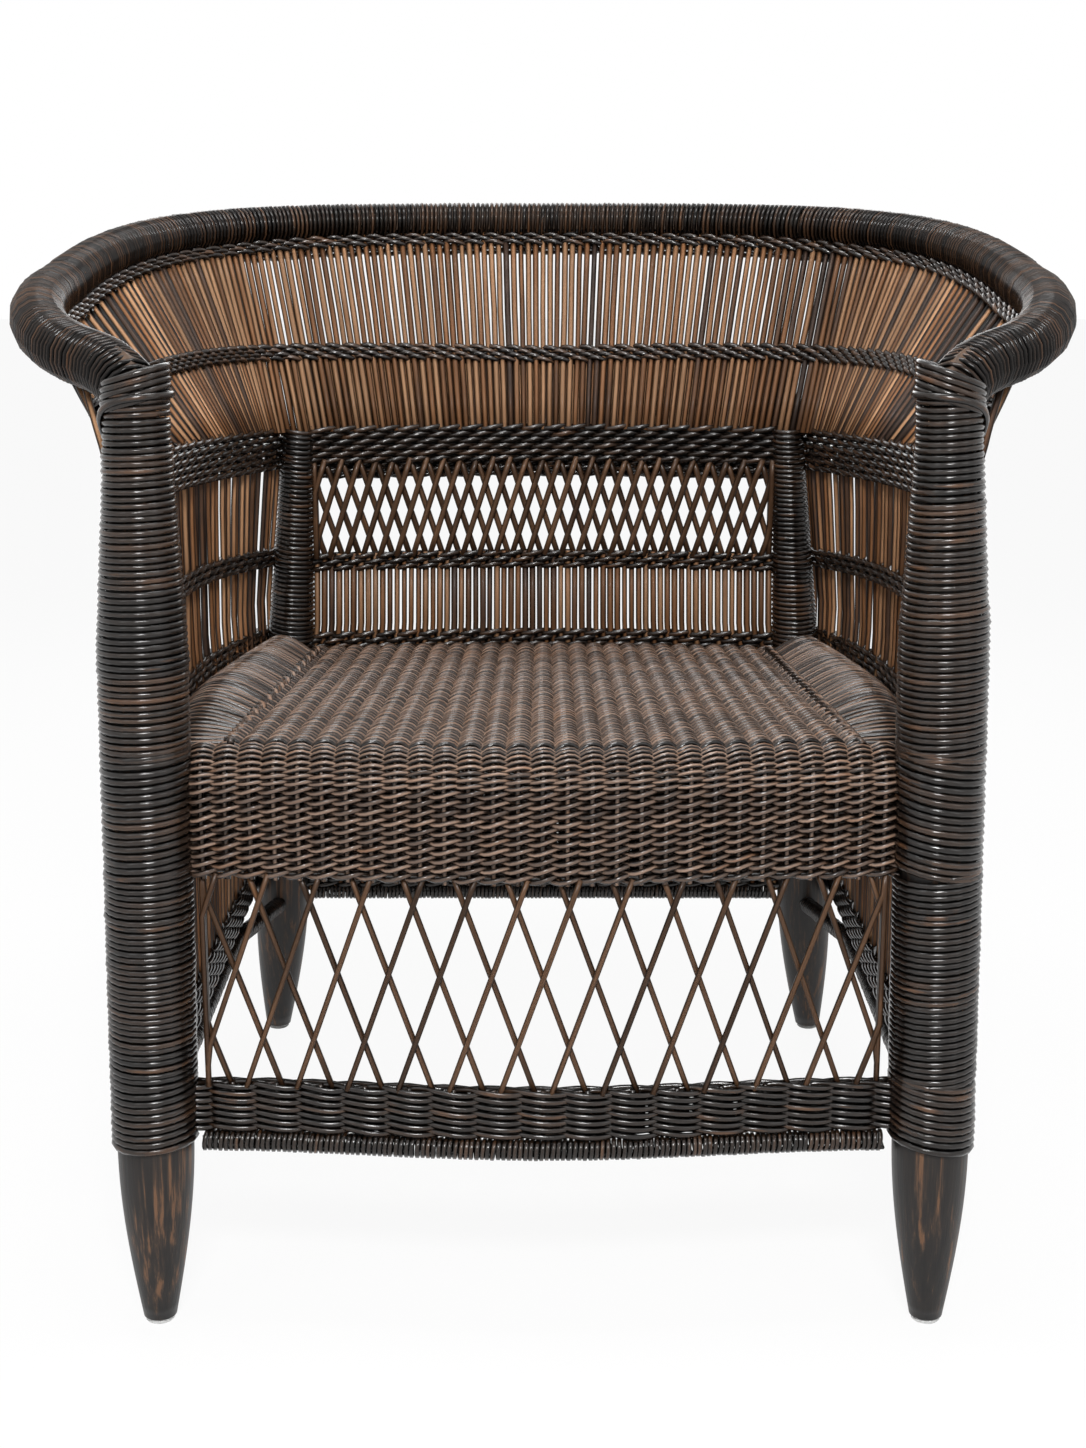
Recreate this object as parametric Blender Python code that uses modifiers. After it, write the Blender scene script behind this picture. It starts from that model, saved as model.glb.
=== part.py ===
# Cane tub armchair: four turned poles, mortised rails, a bent rim, wound cane and stake walls.
# Metres, +Z up, seat facing -Y; the origin is on the floor under the middle of the chair.
import math

import bmesh
import bpy
from mathutils import Vector

SIDES = {"left": -1, "right": 1}
UP = Vector((0, 0, 1))

# Fits between pieces
CLEARANCE = 0.0004
MORTISE_DEPTH = 0.009
RAIL_SEAT_GAP = 0.0009
CUTTER_REACH = 0.03

# Front poles, by their axes
FRONT_SPREAD_FOOT = 0.526
FRONT_SPREAD_TOP = 0.503
FRONT_POLE_TOP = 0.598
FRONT_LEG_RADIUS = 0.0255
FRONT_POLE_RADIUS = 0.0236
FRONT_POLE_TOP_RADIUS = 0.0160
FRONT_TAPER_START = 0.47

# Rear poles lean inwards and forwards
LEG_DEPTH = 0.535
REAR_SPREAD_FOOT = 0.505
REAR_SPREAD_TOP = 0.425
REAR_RAKE = 0.045
REAR_POLE_TOP = 0.565
REAR_LEG_RADIUS = 0.0240
REAR_POLE_RADIUS = 0.0165
REAR_POLE_TOP_RADIUS = 0.0085

# Bare turned feet and their nailed glides
LEG_HEIGHT = 0.133
FOOT_RADIUS = 0.0105
FOOT_RINGS = 5
FOOT_TRIM = 0.01
LEG_SHOULDER = 0.004
GLIDE_RADIUS = 0.0098
GLIDE_THICKNESS = 0.004
NAIL_RADIUS = 0.0015
NAIL_LENGTH = 0.014
TURNED_SIDES = 12

# Rails
LOWER_RAIL_HEIGHT = 0.1325
LOWER_RAIL_RADIUS = 0.0075
FRONT_BOW = 0.016
FRONT_BOW_STEPS = 10
FRONT_BOW_STRAIGHT = 0.03
SEAT_RAIL_RADIUS = 0.0075
SIDE_RAIL_INSET_FRONT = 0.0140
SIDE_RAIL_INSET_REAR = 0.0112
SIDE_RAIL_DROP = 0.0260
FRONT_SEAT_RAIL_SETBACK = 0.0165
LOWER_RAIL_BEND_SHARE = 0.78
REAR_SEAT_RAIL_SETBACK = -0.0115

# Seat
SEAT_HEIGHT_FRONT = 0.404
SEAT_HEIGHT_REAR = 0.374
SEAT_THICKNESS = 0.016
SEAT_POST_GAP = 0.006
SEAT_REAR_SETBACK = 0.008
SEAT_FRONT_GAP = 0.0028
SEAT_RIBS = 12
SEAT_RIB_RISE = 0.0045
SEAT_BAND_BOTTOM = 0.317
SEAT_BAND_THICKNESS = 0.010
SEAT_BAND_RIDGES = 5
SEAT_EDGE_RADIUS = 0.020
BAND_RIDGE = 0.0030
ROLL_WIDTH_FRONT = 0.0205
ROLL_CROWN = 0.010
ROLL_THICKNESS = 0.005
ROLL_GAP = 0.0022
ROLL_END_SHARE = 0.94

# Lower woven band and the open lattice above it
LOWER_BAND_TOP = 0.1745
LOWER_BAND_THICKNESS = 0.009
LOWER_BAND_RIDGES = 2
CANE_DIAMETER = 0.0042
APRON_PITCH = 0.0338
APRON_DIAMOND_HEIGHT = 0.0952
BACK_PITCH = 0.0330
BACK_DIAMOND_HEIGHT = 0.054
LATTICE_SIDE_GAP = 0.0008
LATTICE_BAND_GAP = 0.0012
LATTICE_WELD = 0.0005

# Stake walls between the poles
STAKE_WIDTH = 0.0062
STAKE_THICKNESS = 0.0048
SIDE_STAKES = 15
BACK_STAKES = 16
SIDE_BOW = 0.018
BACK_BOW = 0.038
WALL_FOOT_BAND = 0.036
WALL_HEAD_BAND = 0.010
WALL_POST_GAP = 0.002
WALL_FOOT_HEIGHT = LOWER_RAIL_HEIGHT + LOWER_RAIL_RADIUS + CLEARANCE
WALL_EDGE_GAP = STAKE_THICKNESS / 2 + CLEARANCE
BACK_ROW_HEIGHT = 0.456
BACK_ROW_BAND = 0.016

# Waist band, the woven belt where the wall starts to flare
WAIST_TOP_FRONT = 0.590
WAIST_TOP_REAR = 0.570
WAIST_BAND = 0.030
WAIST_THICKNESS = 0.008

# Cord rows along the walls
CORD_RADIUS = 0.0042
SEAT_CORD_LIFT_FRONT = 0.020
SEAT_CORD_LIFT_REAR = 0.010
SIDE_CORD_FRONT = 0.492
SIDE_CORD_REAR = 0.450
CORD_STEPS = 8
CORD_END_SHARE = 0.02
CORD_REAR_SHARE = 0.935
FLARE_CORD_FRONT = 0.52
FLARE_CORD_REAR = 0.343
FLARE_CORD_POINTS = 36
FLARE_CORD_GAP = 0.0007
FLARE_CORD_END_SHARE = 0.03

# Rim, by the middle of its wrapped tube
RIM_RADIUS = 0.0185
RIM_CORE_RADIUS = 0.0127
RIM_SPREAD = 0.718
RIM_BACK_DEPTH = 0.6315
RIM_BACK_HEIGHT = 0.7475
RIM_SIDE_DEPTH = 0.270
RIM_SIDE_HEIGHT = 0.690
RIM_ELBOW_REACH = 0.038
RIM_ELBOW_DEPTH = 0.042
RIM_ELBOW_RISE = 0.050
RIM_POINTS = 22
RIM_BEND_POINTS = 6
RIM_CURVE_STEPS = 24
ROUTE_STEP = 0.008
RIM_HEADING = Vector((0.72, 0.64, 0.16))
RIM_ELBOW_PULL = 0.055
RIM_KNEE_PULL = 0.026
RIM_SIDE_PULL = Vector((0, 0.12, 0.014))
RIM_CORNER_PULL = Vector((0, 0.23, 0.050))
RIM_BACK_PULL = Vector((0.275, 0, 0))

# Flared upper wall, in five mats
FLARE_STAKES = {"right": 15, "back_right": 7, "back": 16, "back_left": 7, "left": 15}
FLARE_CUTS = (0.0, 0.46, 0.68, 1.32, 1.54, 2.0)
FLARE_CORNER_SPREAD = 0.330
FLARE_CORNER_PULL = 0.050
FLARE_CORNER_STEPS = 10
FLARE_SIDE_STEPS = 20
FLARE_CUT_SHARE = 0.002
FLARE_FOOT_LIFT = 0.0022
FLARE_FOOT_BAND = 0.008
FLARE_HEAD_BAND = 0.015
FLARE_HEAD_GAP = 0.0018

# Wound cane
WRAP_POINTS = 8
WRAP_GAP = 0.0009
WRAP_THICKNESS = 0.0030
FRONT_WRAP_RADIUS = 0.0293
FRONT_WRAP_TOP_RADIUS = 0.0215
REAR_WRAP_RADIUS = 0.0212
REAR_WRAP_TOP_RADIUS = 0.0135
COLLAR_THICKNESS = 0.0026
COLLAR_LEG_GAP = 0.001
LOWER_WRAP_LOOPS = 7
UPPER_WRAP_LOOPS = 10
REAR_WRAP_LOOPS = 8
REAR_WRAP_LIFT = 0.008
REAR_WRAP_DROP = 0.001
BINDING_LOOPS = 4
BINDING_TOP = 0.624
BINDING_RADIUS = 0.0205
RIM_WRAP_LOOPS = 14
RIM_WRAP_START = 0.054
RIM_WRAP_JOINT = 0.690

# The chair's box runs from the front of the wound posts to the back of the rim, which is a
# little inside its radius there because the wound strand is faceted.
RIM_FACET = 0.0010
FRONT_Y = -(RIM_BACK_DEPTH + RIM_RADIUS - RIM_FACET - FRONT_WRAP_RADIUS) / 2

for old in list(bpy.data.objects):
    bpy.data.objects.remove(old, do_unlink=True)
chair = bpy.data.collections.new("cane_armchair")
cutters = bpy.data.collections.new("cutters")
for collection in (chair, cutters):
    bpy.context.scene.collection.children.link(collection)

COLOURS = {
    "espresso_cane": ((0.026, 0.017, 0.012), 0.38),
    "stake_cane": ((0.155, 0.072, 0.032), 0.52),
    "lattice_cane": ((0.060, 0.030, 0.018), 0.45),
    "seat_cane": ((0.085, 0.050, 0.034), 0.50),
    "leg_wood": ((0.030, 0.019, 0.014), 0.48),
    "hidden_cane": ((0.120, 0.065, 0.035), 0.60),
    "glide_plastic": ((0.750, 0.750, 0.740), 0.45),
}


def place(piece, finish):
    # Each piece has its own material, tinted from the finish it is made of.
    colour, roughness = COLOURS[finish]
    material = bpy.data.materials.new(piece.name + "_" + finish)
    material.use_nodes = True
    shader = material.node_tree.nodes["Principled BSDF"]
    shader.inputs["Base Color"].default_value = (*colour, 1)
    shader.inputs["Roughness"].default_value = roughness
    shader.inputs["Metallic"].default_value = 0
    piece.data.materials.append(material)
    chair.objects.link(piece)
    return piece


def mesh_piece(name, mesh):
    data = bpy.data.meshes.new(name)
    bmesh.ops.recalc_face_normals(mesh, faces=mesh.faces)
    mesh.to_mesh(data)
    mesh.free()
    return bpy.data.objects.new(name, data)


def tube(name, points, radius, resolution):
    curve = bpy.data.curves.new(name, "CURVE")
    curve.dimensions = "3D"
    curve.bevel_depth = radius
    curve.bevel_resolution = resolution
    curve.use_fill_caps = True
    spline = curve.splines.new("POLY")
    spline.points.add(len(points) - 1)
    for knot, point in zip(spline.points, points):
        knot.co = (*point, 1)
    return bpy.data.objects.new(name, curve)


def solidify(piece, thickness):
    shell = piece.modifiers.new("thickness", "SOLIDIFY")
    shell.thickness = thickness
    shell.offset = 0


def mix(start, end, share):
    return start + (end - start) * share


def ease(share):
    return math.sin(math.pi / 2 * share)


# Axes of the poles


def front_axis(side, height):
    lean = (FRONT_SPREAD_TOP - FRONT_SPREAD_FOOT) / 2 / FRONT_POLE_TOP
    return Vector((side * (FRONT_SPREAD_FOOT / 2 + lean * height), FRONT_Y, height))


def rear_axis(side, height):
    share = height / REAR_POLE_TOP
    across = mix(REAR_SPREAD_FOOT, REAR_SPREAD_TOP, share) / 2
    return Vector((side * across, FRONT_Y + LEG_DEPTH - REAR_RAKE * share, height))


def front_outer(height):
    # Radius over the wound cane of a front post
    share = max(0, height - FRONT_TAPER_START) / (FRONT_POLE_TOP - FRONT_TAPER_START)
    return mix(FRONT_WRAP_RADIUS, FRONT_WRAP_TOP_RADIUS, share)


def rear_outer(height):
    share = (height - SEAT_HEIGHT_REAR) / (REAR_POLE_TOP - SEAT_HEIGHT_REAR)
    if share < 0:
        drop = (height - LEG_HEIGHT) / (SEAT_HEIGHT_REAR - LEG_HEIGHT)
        return mix(REAR_LEG_RADIUS, REAR_POLE_RADIUS, drop)
    return mix(REAR_WRAP_RADIUS, REAR_WRAP_TOP_RADIUS, share)


# Turned pieces and the holes in them


def turned(name, profile, sides):
    # The profile runs down the outer side as (radius, height) pairs.
    mesh = bmesh.new()
    verts = [mesh.verts.new((radius, 0, height)) for radius, height in profile]
    for start, end in zip(verts, verts[1:]):
        mesh.edges.new((start, end))
    data = bpy.data.meshes.new(name)
    mesh.to_mesh(data)
    mesh.free()
    piece = bpy.data.objects.new(name, data)
    screw = piece.modifiers.new("turn", "SCREW")
    screw.steps = sides
    screw.render_steps = sides
    screw.use_merge_vertices = True
    screw.merge_threshold = 0.00005
    screw.use_smooth_shade = True
    return piece


def hole(start, end, radius, group):
    # A round cutter from start to end, kept in the group of the piece it cuts
    mesh = bmesh.new()
    run = end - start
    bmesh.ops.create_cone(mesh, cap_ends=True, segments=10, radius1=radius, radius2=radius,
                          depth=run.length)
    cutter = mesh_piece("cutter", mesh)
    cutter.location = (start + end) / 2
    cutter.rotation_mode = "QUATERNION"
    cutter.rotation_quaternion = run.to_track_quat("Z", "Y")
    cutter.hide_render = True
    cutter.display_type = "WIRE"
    group.objects.link(cutter)


def cutter_group(name):
    group = bpy.data.collections.new(name)
    cutters.children.link(group)
    return group


def cut(piece, group):
    joint = piece.modifiers.new("joints", "BOOLEAN")
    joint.operation = "DIFFERENCE"
    joint.operand_type = "COLLECTION"
    joint.collection = group


pole_cuts = {}
collar_cuts = {}
for side_name in SIDES:
    for row in ("front", "rear"):
        pole_cuts[row, side_name] = cutter_group(f"{row}_pole_{side_name}_cuts")
    for level in ("lower", "seat"):
        collar_cuts[level, side_name] = cutter_group(f"{level}_collar_{side_name}_cuts")


def pole_profile(leg_radius, upper):
    # Bullet-shaped foot, then the stations of the wound upper length as (radius, height)
    foot = []
    for ring in range(FOOT_RINGS + 1):
        share = ring / FOOT_RINGS
        foot.append((mix(FOOT_RADIUS, leg_radius, ease(share)), LEG_HEIGHT * share))
    below = [(0, -FOOT_TRIM), (FOOT_RADIUS, -FOOT_TRIM)]
    profile = [*below, *foot, *upper, (0, upper[-1][1])]
    return profile[::-1]


def make_pole(row, side_name, axis, profile, top):
    side = SIDES[side_name]
    pole = turned(f"{row}_pole_{side_name}", profile, TURNED_SIDES)
    pole.location = axis(side, 0)
    pole.rotation_mode = "QUATERNION"
    pole.rotation_quaternion = (axis(side, top) - axis(side, 0)).to_track_quat("Z", "Y")
    group = pole_cuts[row, side_name]
    foot = axis(side, 0)
    hole(foot - CUTTER_REACH * UP, foot + (GLIDE_THICKNESS + CLEARANCE) * UP, 2 * FOOT_RADIUS, group)
    hole(foot, foot + (GLIDE_THICKNESS + NAIL_LENGTH + CLEARANCE) * UP, NAIL_RADIUS + CLEARANCE, group)
    cut(pole, group)
    place(pole, "leg_wood")


def make_poles():
    front = pole_profile(FRONT_LEG_RADIUS, [
        (FRONT_POLE_RADIUS, LEG_HEIGHT + LEG_SHOULDER),
        (FRONT_POLE_RADIUS, FRONT_TAPER_START),
        (FRONT_POLE_TOP_RADIUS, FRONT_POLE_TOP),
    ])
    rear = pole_profile(REAR_LEG_RADIUS, [
        (REAR_POLE_RADIUS, SEAT_HEIGHT_REAR),
        (REAR_POLE_TOP_RADIUS, REAR_POLE_TOP),
    ])
    for side_name in SIDES:
        make_pole("front", side_name, front_axis, front, FRONT_POLE_TOP)
        make_pole("rear", side_name, rear_axis, rear, REAR_POLE_TOP)


def make_glides():
    profile = [
        (0, GLIDE_THICKNESS + NAIL_LENGTH),
        (NAIL_RADIUS, GLIDE_THICKNESS + NAIL_LENGTH - NAIL_RADIUS),
        (NAIL_RADIUS, GLIDE_THICKNESS),
        (GLIDE_RADIUS, GLIDE_THICKNESS),
        (GLIDE_RADIUS, 0),
        (0, 0),
    ]
    for side_name, side in SIDES.items():
        for row, axis in (("front", front_axis), ("rear", rear_axis)):
            glide = turned(f"foot_glide_{row}_{side_name}", profile, TURNED_SIDES)
            glide.location = axis(side, 0)
            place(glide, "glide_plastic")


# Rails, seated in the poles


def front_bow(across, half):
    # Forward bow of what spans the front posts, square to them at its ends
    return -FRONT_BOW * math.cos(math.pi / 2 * min(1, abs(across) / half)) ** 2


def mortise(end, inner, radius, groups):
    # A blind hole round a rail's end, long enough to clear the collar as well
    run = (inner - end).normalized()
    for group in groups:
        hole(end - CLEARANCE * run, end + CUTTER_REACH * run, radius + CLEARANCE, group)


def rail(name, points, radius, start_groups, end_groups):
    place(tube(name, points, radius, 2), "hidden_cane")
    mortise(points[0], points[1], radius, start_groups)
    mortise(points[-1], points[-2], radius, end_groups)


def cross_rail(name, row, axis, height, radius, pole_radius, setback, collars, bowed):
    # From the left pole to the right one
    depth = math.sqrt(pole_radius ** 2 - setback ** 2) - MORTISE_DEPTH
    half = axis(1, height).x - depth
    back = axis(1, height).y + setback
    steps = FRONT_BOW_STEPS if bowed else 1
    points = []
    for step in range(steps + 1):
        across = mix(-half, half, step / steps)
        bow = front_bow(across, half - FRONT_BOW_STRAIGHT) if bowed else 0
        points.append(Vector((across, back + bow, height)))
    groups = {}
    for side_name in SIDES:
        groups[side_name] = [pole_cuts[row, side_name]]
        groups[side_name] += [collar_cuts[level, side_name] for level in collars]
    rail(name, points, radius, groups["left"], groups["right"])


def side_rail(level, side_name, heights, insets, radius, rear_radius):
    # From a front pole through its collar to the rear pole behind it; a lower one bends out under the wall
    side = SIDES[side_name]
    inset_front, inset_rear = insets
    front = front_axis(side, heights[0]) - side * inset_front * Vector((1, 0, 0))
    rear = rear_axis(side, heights[1]) - side * inset_rear * Vector((1, 0, 0))
    run = (rear - front).normalized()
    start = front + run * (math.sqrt(FRONT_POLE_RADIUS ** 2 - inset_front ** 2) - MORTISE_DEPTH)
    end = rear - run * (math.sqrt(rear_radius ** 2 - inset_rear ** 2) - MORTISE_DEPTH)
    points = [start, end]
    if level == "lower":
        bend = side_line(side, LOWER_RAIL_BEND_SHARE, heights[0], heights[1], 0)
        bend.x -= side * SIDE_BOW * math.sin(math.pi * LOWER_RAIL_BEND_SHARE)
        points = [start, bend, end]
    front_groups = [pole_cuts["front", side_name], collar_cuts[level, side_name]]
    rear_groups = [pole_cuts["rear", side_name]]
    rail(f"{level}_rail_{side_name}", points, radius, front_groups, rear_groups)


def seat_under(share):
    # Underside of the seat, from its front (0) to its back (1)
    return mix(SEAT_HEIGHT_FRONT, SEAT_HEIGHT_REAR, share) - SEAT_THICKNESS


def make_rails():
    cross_rail("lower_rail_front", "front", front_axis, LOWER_RAIL_HEIGHT, LOWER_RAIL_RADIUS,
               FRONT_POLE_RADIUS, 0, ["lower"], True)
    cross_rail("lower_rail_rear", "rear", rear_axis, LOWER_RAIL_HEIGHT, LOWER_RAIL_RADIUS,
               REAR_LEG_RADIUS, 0, [], False)
    front_height = seat_under(0) - RAIL_SEAT_GAP - SEAT_RAIL_RADIUS
    rear_height = seat_under(1) - RAIL_SEAT_GAP - SEAT_RAIL_RADIUS
    cross_rail("seat_rail_front", "front", front_axis, front_height, SEAT_RAIL_RADIUS,
               FRONT_POLE_RADIUS, FRONT_SEAT_RAIL_SETBACK, ["seat"], False)
    cross_rail("seat_rail_rear", "rear", rear_axis, rear_height, SEAT_RAIL_RADIUS,
               rear_outer(rear_height), REAR_SEAT_RAIL_SETBACK, [], False)
    lower_heights = (LOWER_RAIL_HEIGHT, LOWER_RAIL_HEIGHT)
    seat_heights = (front_height - SIDE_RAIL_DROP, rear_height - SIDE_RAIL_DROP)
    seat_insets = (SIDE_RAIL_INSET_FRONT, SIDE_RAIL_INSET_REAR)
    for side_name in SIDES:
        side_rail("lower", side_name, lower_heights, (0, 0), LOWER_RAIL_RADIUS, REAR_LEG_RADIUS)
        side_rail("seat", side_name, seat_heights, seat_insets, SEAT_RAIL_RADIUS,
                  rear_outer(seat_heights[1]))


# Woven solids of the seat and its front


def grid_piece(name, columns, rows, position):
    # A grid whose corners are set from their shares along and up the piece
    mesh = bmesh.new()
    bmesh.ops.create_grid(mesh, x_segments=columns, y_segments=rows, size=1)
    for vert in mesh.verts:
        vert.co = position((vert.co.x + 1) / 2, (vert.co.y + 1) / 2)
    return mesh_piece(name, mesh)


def front_line(height, gap):
    # Half the clear span between the front posts' wound cane
    return front_axis(1, height).x - front_outer(height) - gap


def band_front(across, height):
    # Middle plane of the woven bands and the lattice between the front posts
    return FRONT_Y + front_bow(across, front_axis(1, height).x - FRONT_POLE_RADIUS)


def front_band(name, bottom, top, thickness, ridges, edge_radius):
    # Upright, with its upper edge rolled back to the given radius
    upright = top - edge_radius - bottom
    length = upright + edge_radius * math.pi / 2

    def position(along, up):
        height = bottom + min(up * length, upright)
        setback = 0
        if up * length > upright:
            turn = (up * length - upright) / edge_radius
            height += edge_radius * math.sin(turn)
            setback = edge_radius * (1 - math.cos(turn))
        half = front_line(height, CLEARANCE)
        across = mix(-half, half, along)
        fade = math.sqrt(abs(math.sin(math.pi * up)))
        ridge = BAND_RIDGE * fade * math.cos(2 * math.pi * ridges * up)
        return Vector((across, band_front(across, height) + setback + ridge, height))

    band = grid_piece(name, 10, 2 * ridges, position)
    solidify(band, thickness)
    place(band, "espresso_cane")


def make_front_bands():
    seat_edge = SEAT_HEIGHT_FRONT - SEAT_BAND_THICKNESS / 2
    front_band("seat_front_band", SEAT_BAND_BOTTOM, seat_edge, SEAT_BAND_THICKNESS,
               SEAT_BAND_RIDGES, SEAT_EDGE_RADIUS)
    rail_top = LOWER_RAIL_HEIGHT + LOWER_RAIL_RADIUS + CLEARANCE
    front_band("lower_front_band", rail_top, LOWER_BAND_TOP, LOWER_BAND_THICKNESS, LOWER_BAND_RIDGES, 0)


def seat_depth(across, share):
    # Front edge follows the bowed band; the back edge lies before the rear wall.
    front = band_front(across, SEAT_HEIGHT_FRONT) + SEAT_EDGE_RADIUS + SEAT_FRONT_GAP
    rear = rear_axis(1, SEAT_HEIGHT_REAR).y - SEAT_REAR_SETBACK
    return mix(front, rear, share)


def seat_half(share):
    front = front_line(SEAT_HEIGHT_FRONT, ROLL_WIDTH_FRONT)
    return mix(front, back_half(SEAT_HEIGHT_REAR, SEAT_POST_GAP), share)


def make_seat():
    def position(along, back):
        across = mix(-1, 1, along) * seat_half(back)
        rib = SEAT_RIB_RISE * (abs(math.sin(math.pi * SEAT_RIBS * along)) - 1)
        middle = mix(SEAT_HEIGHT_FRONT, SEAT_HEIGHT_REAR, back) - (SEAT_THICKNESS - SEAT_RIB_RISE) / 2
        return Vector((across, seat_depth(across, back), middle + rib))

    seat = grid_piece("seat_weave", 2 * SEAT_RIBS, 3, position)
    solidify(seat, SEAT_THICKNESS - SEAT_RIB_RISE)
    place(seat, "seat_cane")


def make_rolls():
    # Split cane arched from the seat's edge over the side rail, short of the wall
    first = seat_depth(seat_half(0), 0)
    last = seat_depth(seat_half(1), 1)
    for side_name, side in SIDES.items():
        def position(along, back):
            wall = wall_plane(1, back * ROLL_END_SHARE, SEAT_HEIGHT_FRONT, SEAT_HEIGHT_REAR)
            share = (wall.y - first) / (last - first)
            inner = seat_half(share) + ROLL_GAP
            across = mix(inner, wall.x - STAKE_THICKNESS / 2 - ROLL_GAP, along)
            top = mix(SEAT_HEIGHT_FRONT, SEAT_HEIGHT_REAR, share) - ROLL_THICKNESS
            crown = ROLL_CROWN * math.sin(math.pi * along)
            return Vector((side * across, wall.y, top - ROLL_CROWN / 2 + crown))

        roll = grid_piece(f"seat_roll_{side_name}", 5, 6, position)
        solidify(roll, ROLL_THICKNESS)
        place(roll, "seat_cane")


# Diamond lattices, trimmed from a turned grid


def lattice(name, half, bottom, top, pitch, diamond_height, surface, half_at):
    mesh = bmesh.new()
    cells = 2 * math.ceil(half / pitch + (top - bottom) / diamond_height) + 2
    bmesh.ops.create_grid(mesh, x_segments=cells, y_segments=cells, size=cells / 2)
    for vert in mesh.verts:
        across = (vert.co.x - vert.co.y) / 2 * pitch
        up = (vert.co.x + vert.co.y) / 2 * diamond_height
        vert.co = Vector((across, 0, (bottom + top) / 2 + up))
    trims = [
        ((0, 0, bottom), (0, 0, -1)),
        ((0, 0, top), (0, 0, 1)),
        ((half, 0, 0), (1, 0, 0)),
        ((-half, 0, 0), (-1, 0, 0)),
    ]
    for point, outward in trims:
        geometry = mesh.verts[:] + mesh.edges[:] + mesh.faces[:]
        bmesh.ops.bisect_plane(mesh, geom=geometry, dist=1e-6, plane_co=point, plane_no=outward,
                               clear_outer=True)
    bmesh.ops.remove_doubles(mesh, verts=mesh.verts, dist=LATTICE_WELD)
    for vert in mesh.verts:
        across = vert.co.x / half * half_at(vert.co.z)
        vert.co = surface(across, vert.co.z)
    piece = mesh_piece(name, mesh)
    wire = piece.modifiers.new("canes", "WIREFRAME")
    wire.thickness = CANE_DIAMETER
    wire.offset = 0
    wire.use_replace = True
    wire.use_boundary = True
    wire.use_even_offset = False
    place(piece, "lattice_cane")


def make_apron_lattice():
    margin = CANE_DIAMETER / 2 + CLEARANCE
    bottom = LOWER_BAND_TOP + margin + LATTICE_BAND_GAP
    top = SEAT_BAND_BOTTOM - margin - LATTICE_BAND_GAP / 2

    def surface(across, height):
        return Vector((across, band_front(across, height), height))

    def half_at(height):
        return front_line(height, margin + LATTICE_SIDE_GAP)

    lattice("apron_lattice", half_at(bottom), bottom, top, APRON_PITCH, APRON_DIAMOND_HEIGHT,
            surface, half_at)


def back_wall(across, height):
    # Middle plane of what spans the rear poles: it bows back more the higher it is.
    post = rear_axis(1, height)
    rise = (height - LOWER_RAIL_HEIGHT) / (WAIST_TOP_REAR - LOWER_RAIL_HEIGHT)
    bow = BACK_BOW * rise * math.cos(math.pi / 2 * min(1, abs(across) / post.x))
    return Vector((across, post.y + bow, height))


def back_half(height, gap):
    return rear_axis(1, height).x - rear_outer(height) - gap


def make_back_lattice():
    margin = CANE_DIAMETER / 2 + CLEARANCE
    bottom = BACK_ROW_HEIGHT + margin
    top = WAIST_TOP_REAR - WAIST_BAND - margin

    def half_at(height):
        return back_half(height, margin + LATTICE_SIDE_GAP)

    lattice("back_lattice", half_at(bottom), bottom, top, BACK_PITCH, BACK_DIAMOND_HEIGHT,
            back_wall, half_at)


# Stake walls: a sheet with the gaps between its stakes taken out


def stake_wall(name, foot, head, stakes, foot_band, head_band):
    # foot and head give the wall's lower and upper edges from one end (0) to the other (1).
    middles = [foot(step / stakes).lerp(head(step / stakes), 0.5) for step in range(stakes + 1)]
    run = sum((end - start).length for start, end in zip(middles, middles[1:]))
    fill = STAKE_WIDTH * stakes / run
    lines = [0.0]
    for stake in range(stakes):
        lines += [(stake + 0.5 - fill / 2) / stakes, (stake + 0.5 + fill / 2) / stakes]
    lines.append(1.0)
    columns = len(lines) - 1

    mesh = bmesh.new()
    bmesh.ops.create_grid(mesh, x_segments=columns, y_segments=3, size=1)
    gaps = []
    for face in mesh.faces:
        middle = face.calc_center_median()
        column = int((middle.x + 1) / 2 * columns)
        if column % 2 == 0 and abs(middle.y) < 0.3:
            gaps.append(face)
    bmesh.ops.delete(mesh, geom=gaps, context="FACES")
    for vert in mesh.verts:
        along = lines[round((vert.co.x + 1) / 2 * columns)]
        row = round((vert.co.y + 1) / 2 * 3)
        low, high = foot(along), head(along)
        length = (high - low).length
        share = (0, foot_band / length, 1 - head_band / length, 1)[row]
        vert.co = low.lerp(high, share)
    wall = mesh_piece(name, mesh)
    solidify(wall, STAKE_THICKNESS)
    place(wall, "stake_cane")


def side_line(side, along, front_height, rear_height, gap):
    # From behind a front post to the outside of the rear post at the same side, bowed outwards
    start = front_axis(side, front_height)
    start.y += front_outer(front_height) + gap
    end = rear_axis(side, rear_height)
    end.x += side * (rear_outer(rear_height) + gap + WALL_POST_GAP)
    return start.lerp(end, along) + Vector((side * SIDE_BOW * math.sin(math.pi * along), 0, 0))


def wall_foot(side, along):
    # On the rail, without the bow
    foot = side_line(side, along, WALL_FOOT_HEIGHT, WALL_FOOT_HEIGHT, WALL_EDGE_GAP)
    foot.x -= side * SIDE_BOW * math.sin(math.pi * along)
    return foot


def wall_head(side, along):
    drop = WAIST_BAND + CLEARANCE
    return side_line(side, along, WAIST_TOP_FRONT - drop, WAIST_TOP_REAR - drop, WALL_EDGE_GAP)


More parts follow.
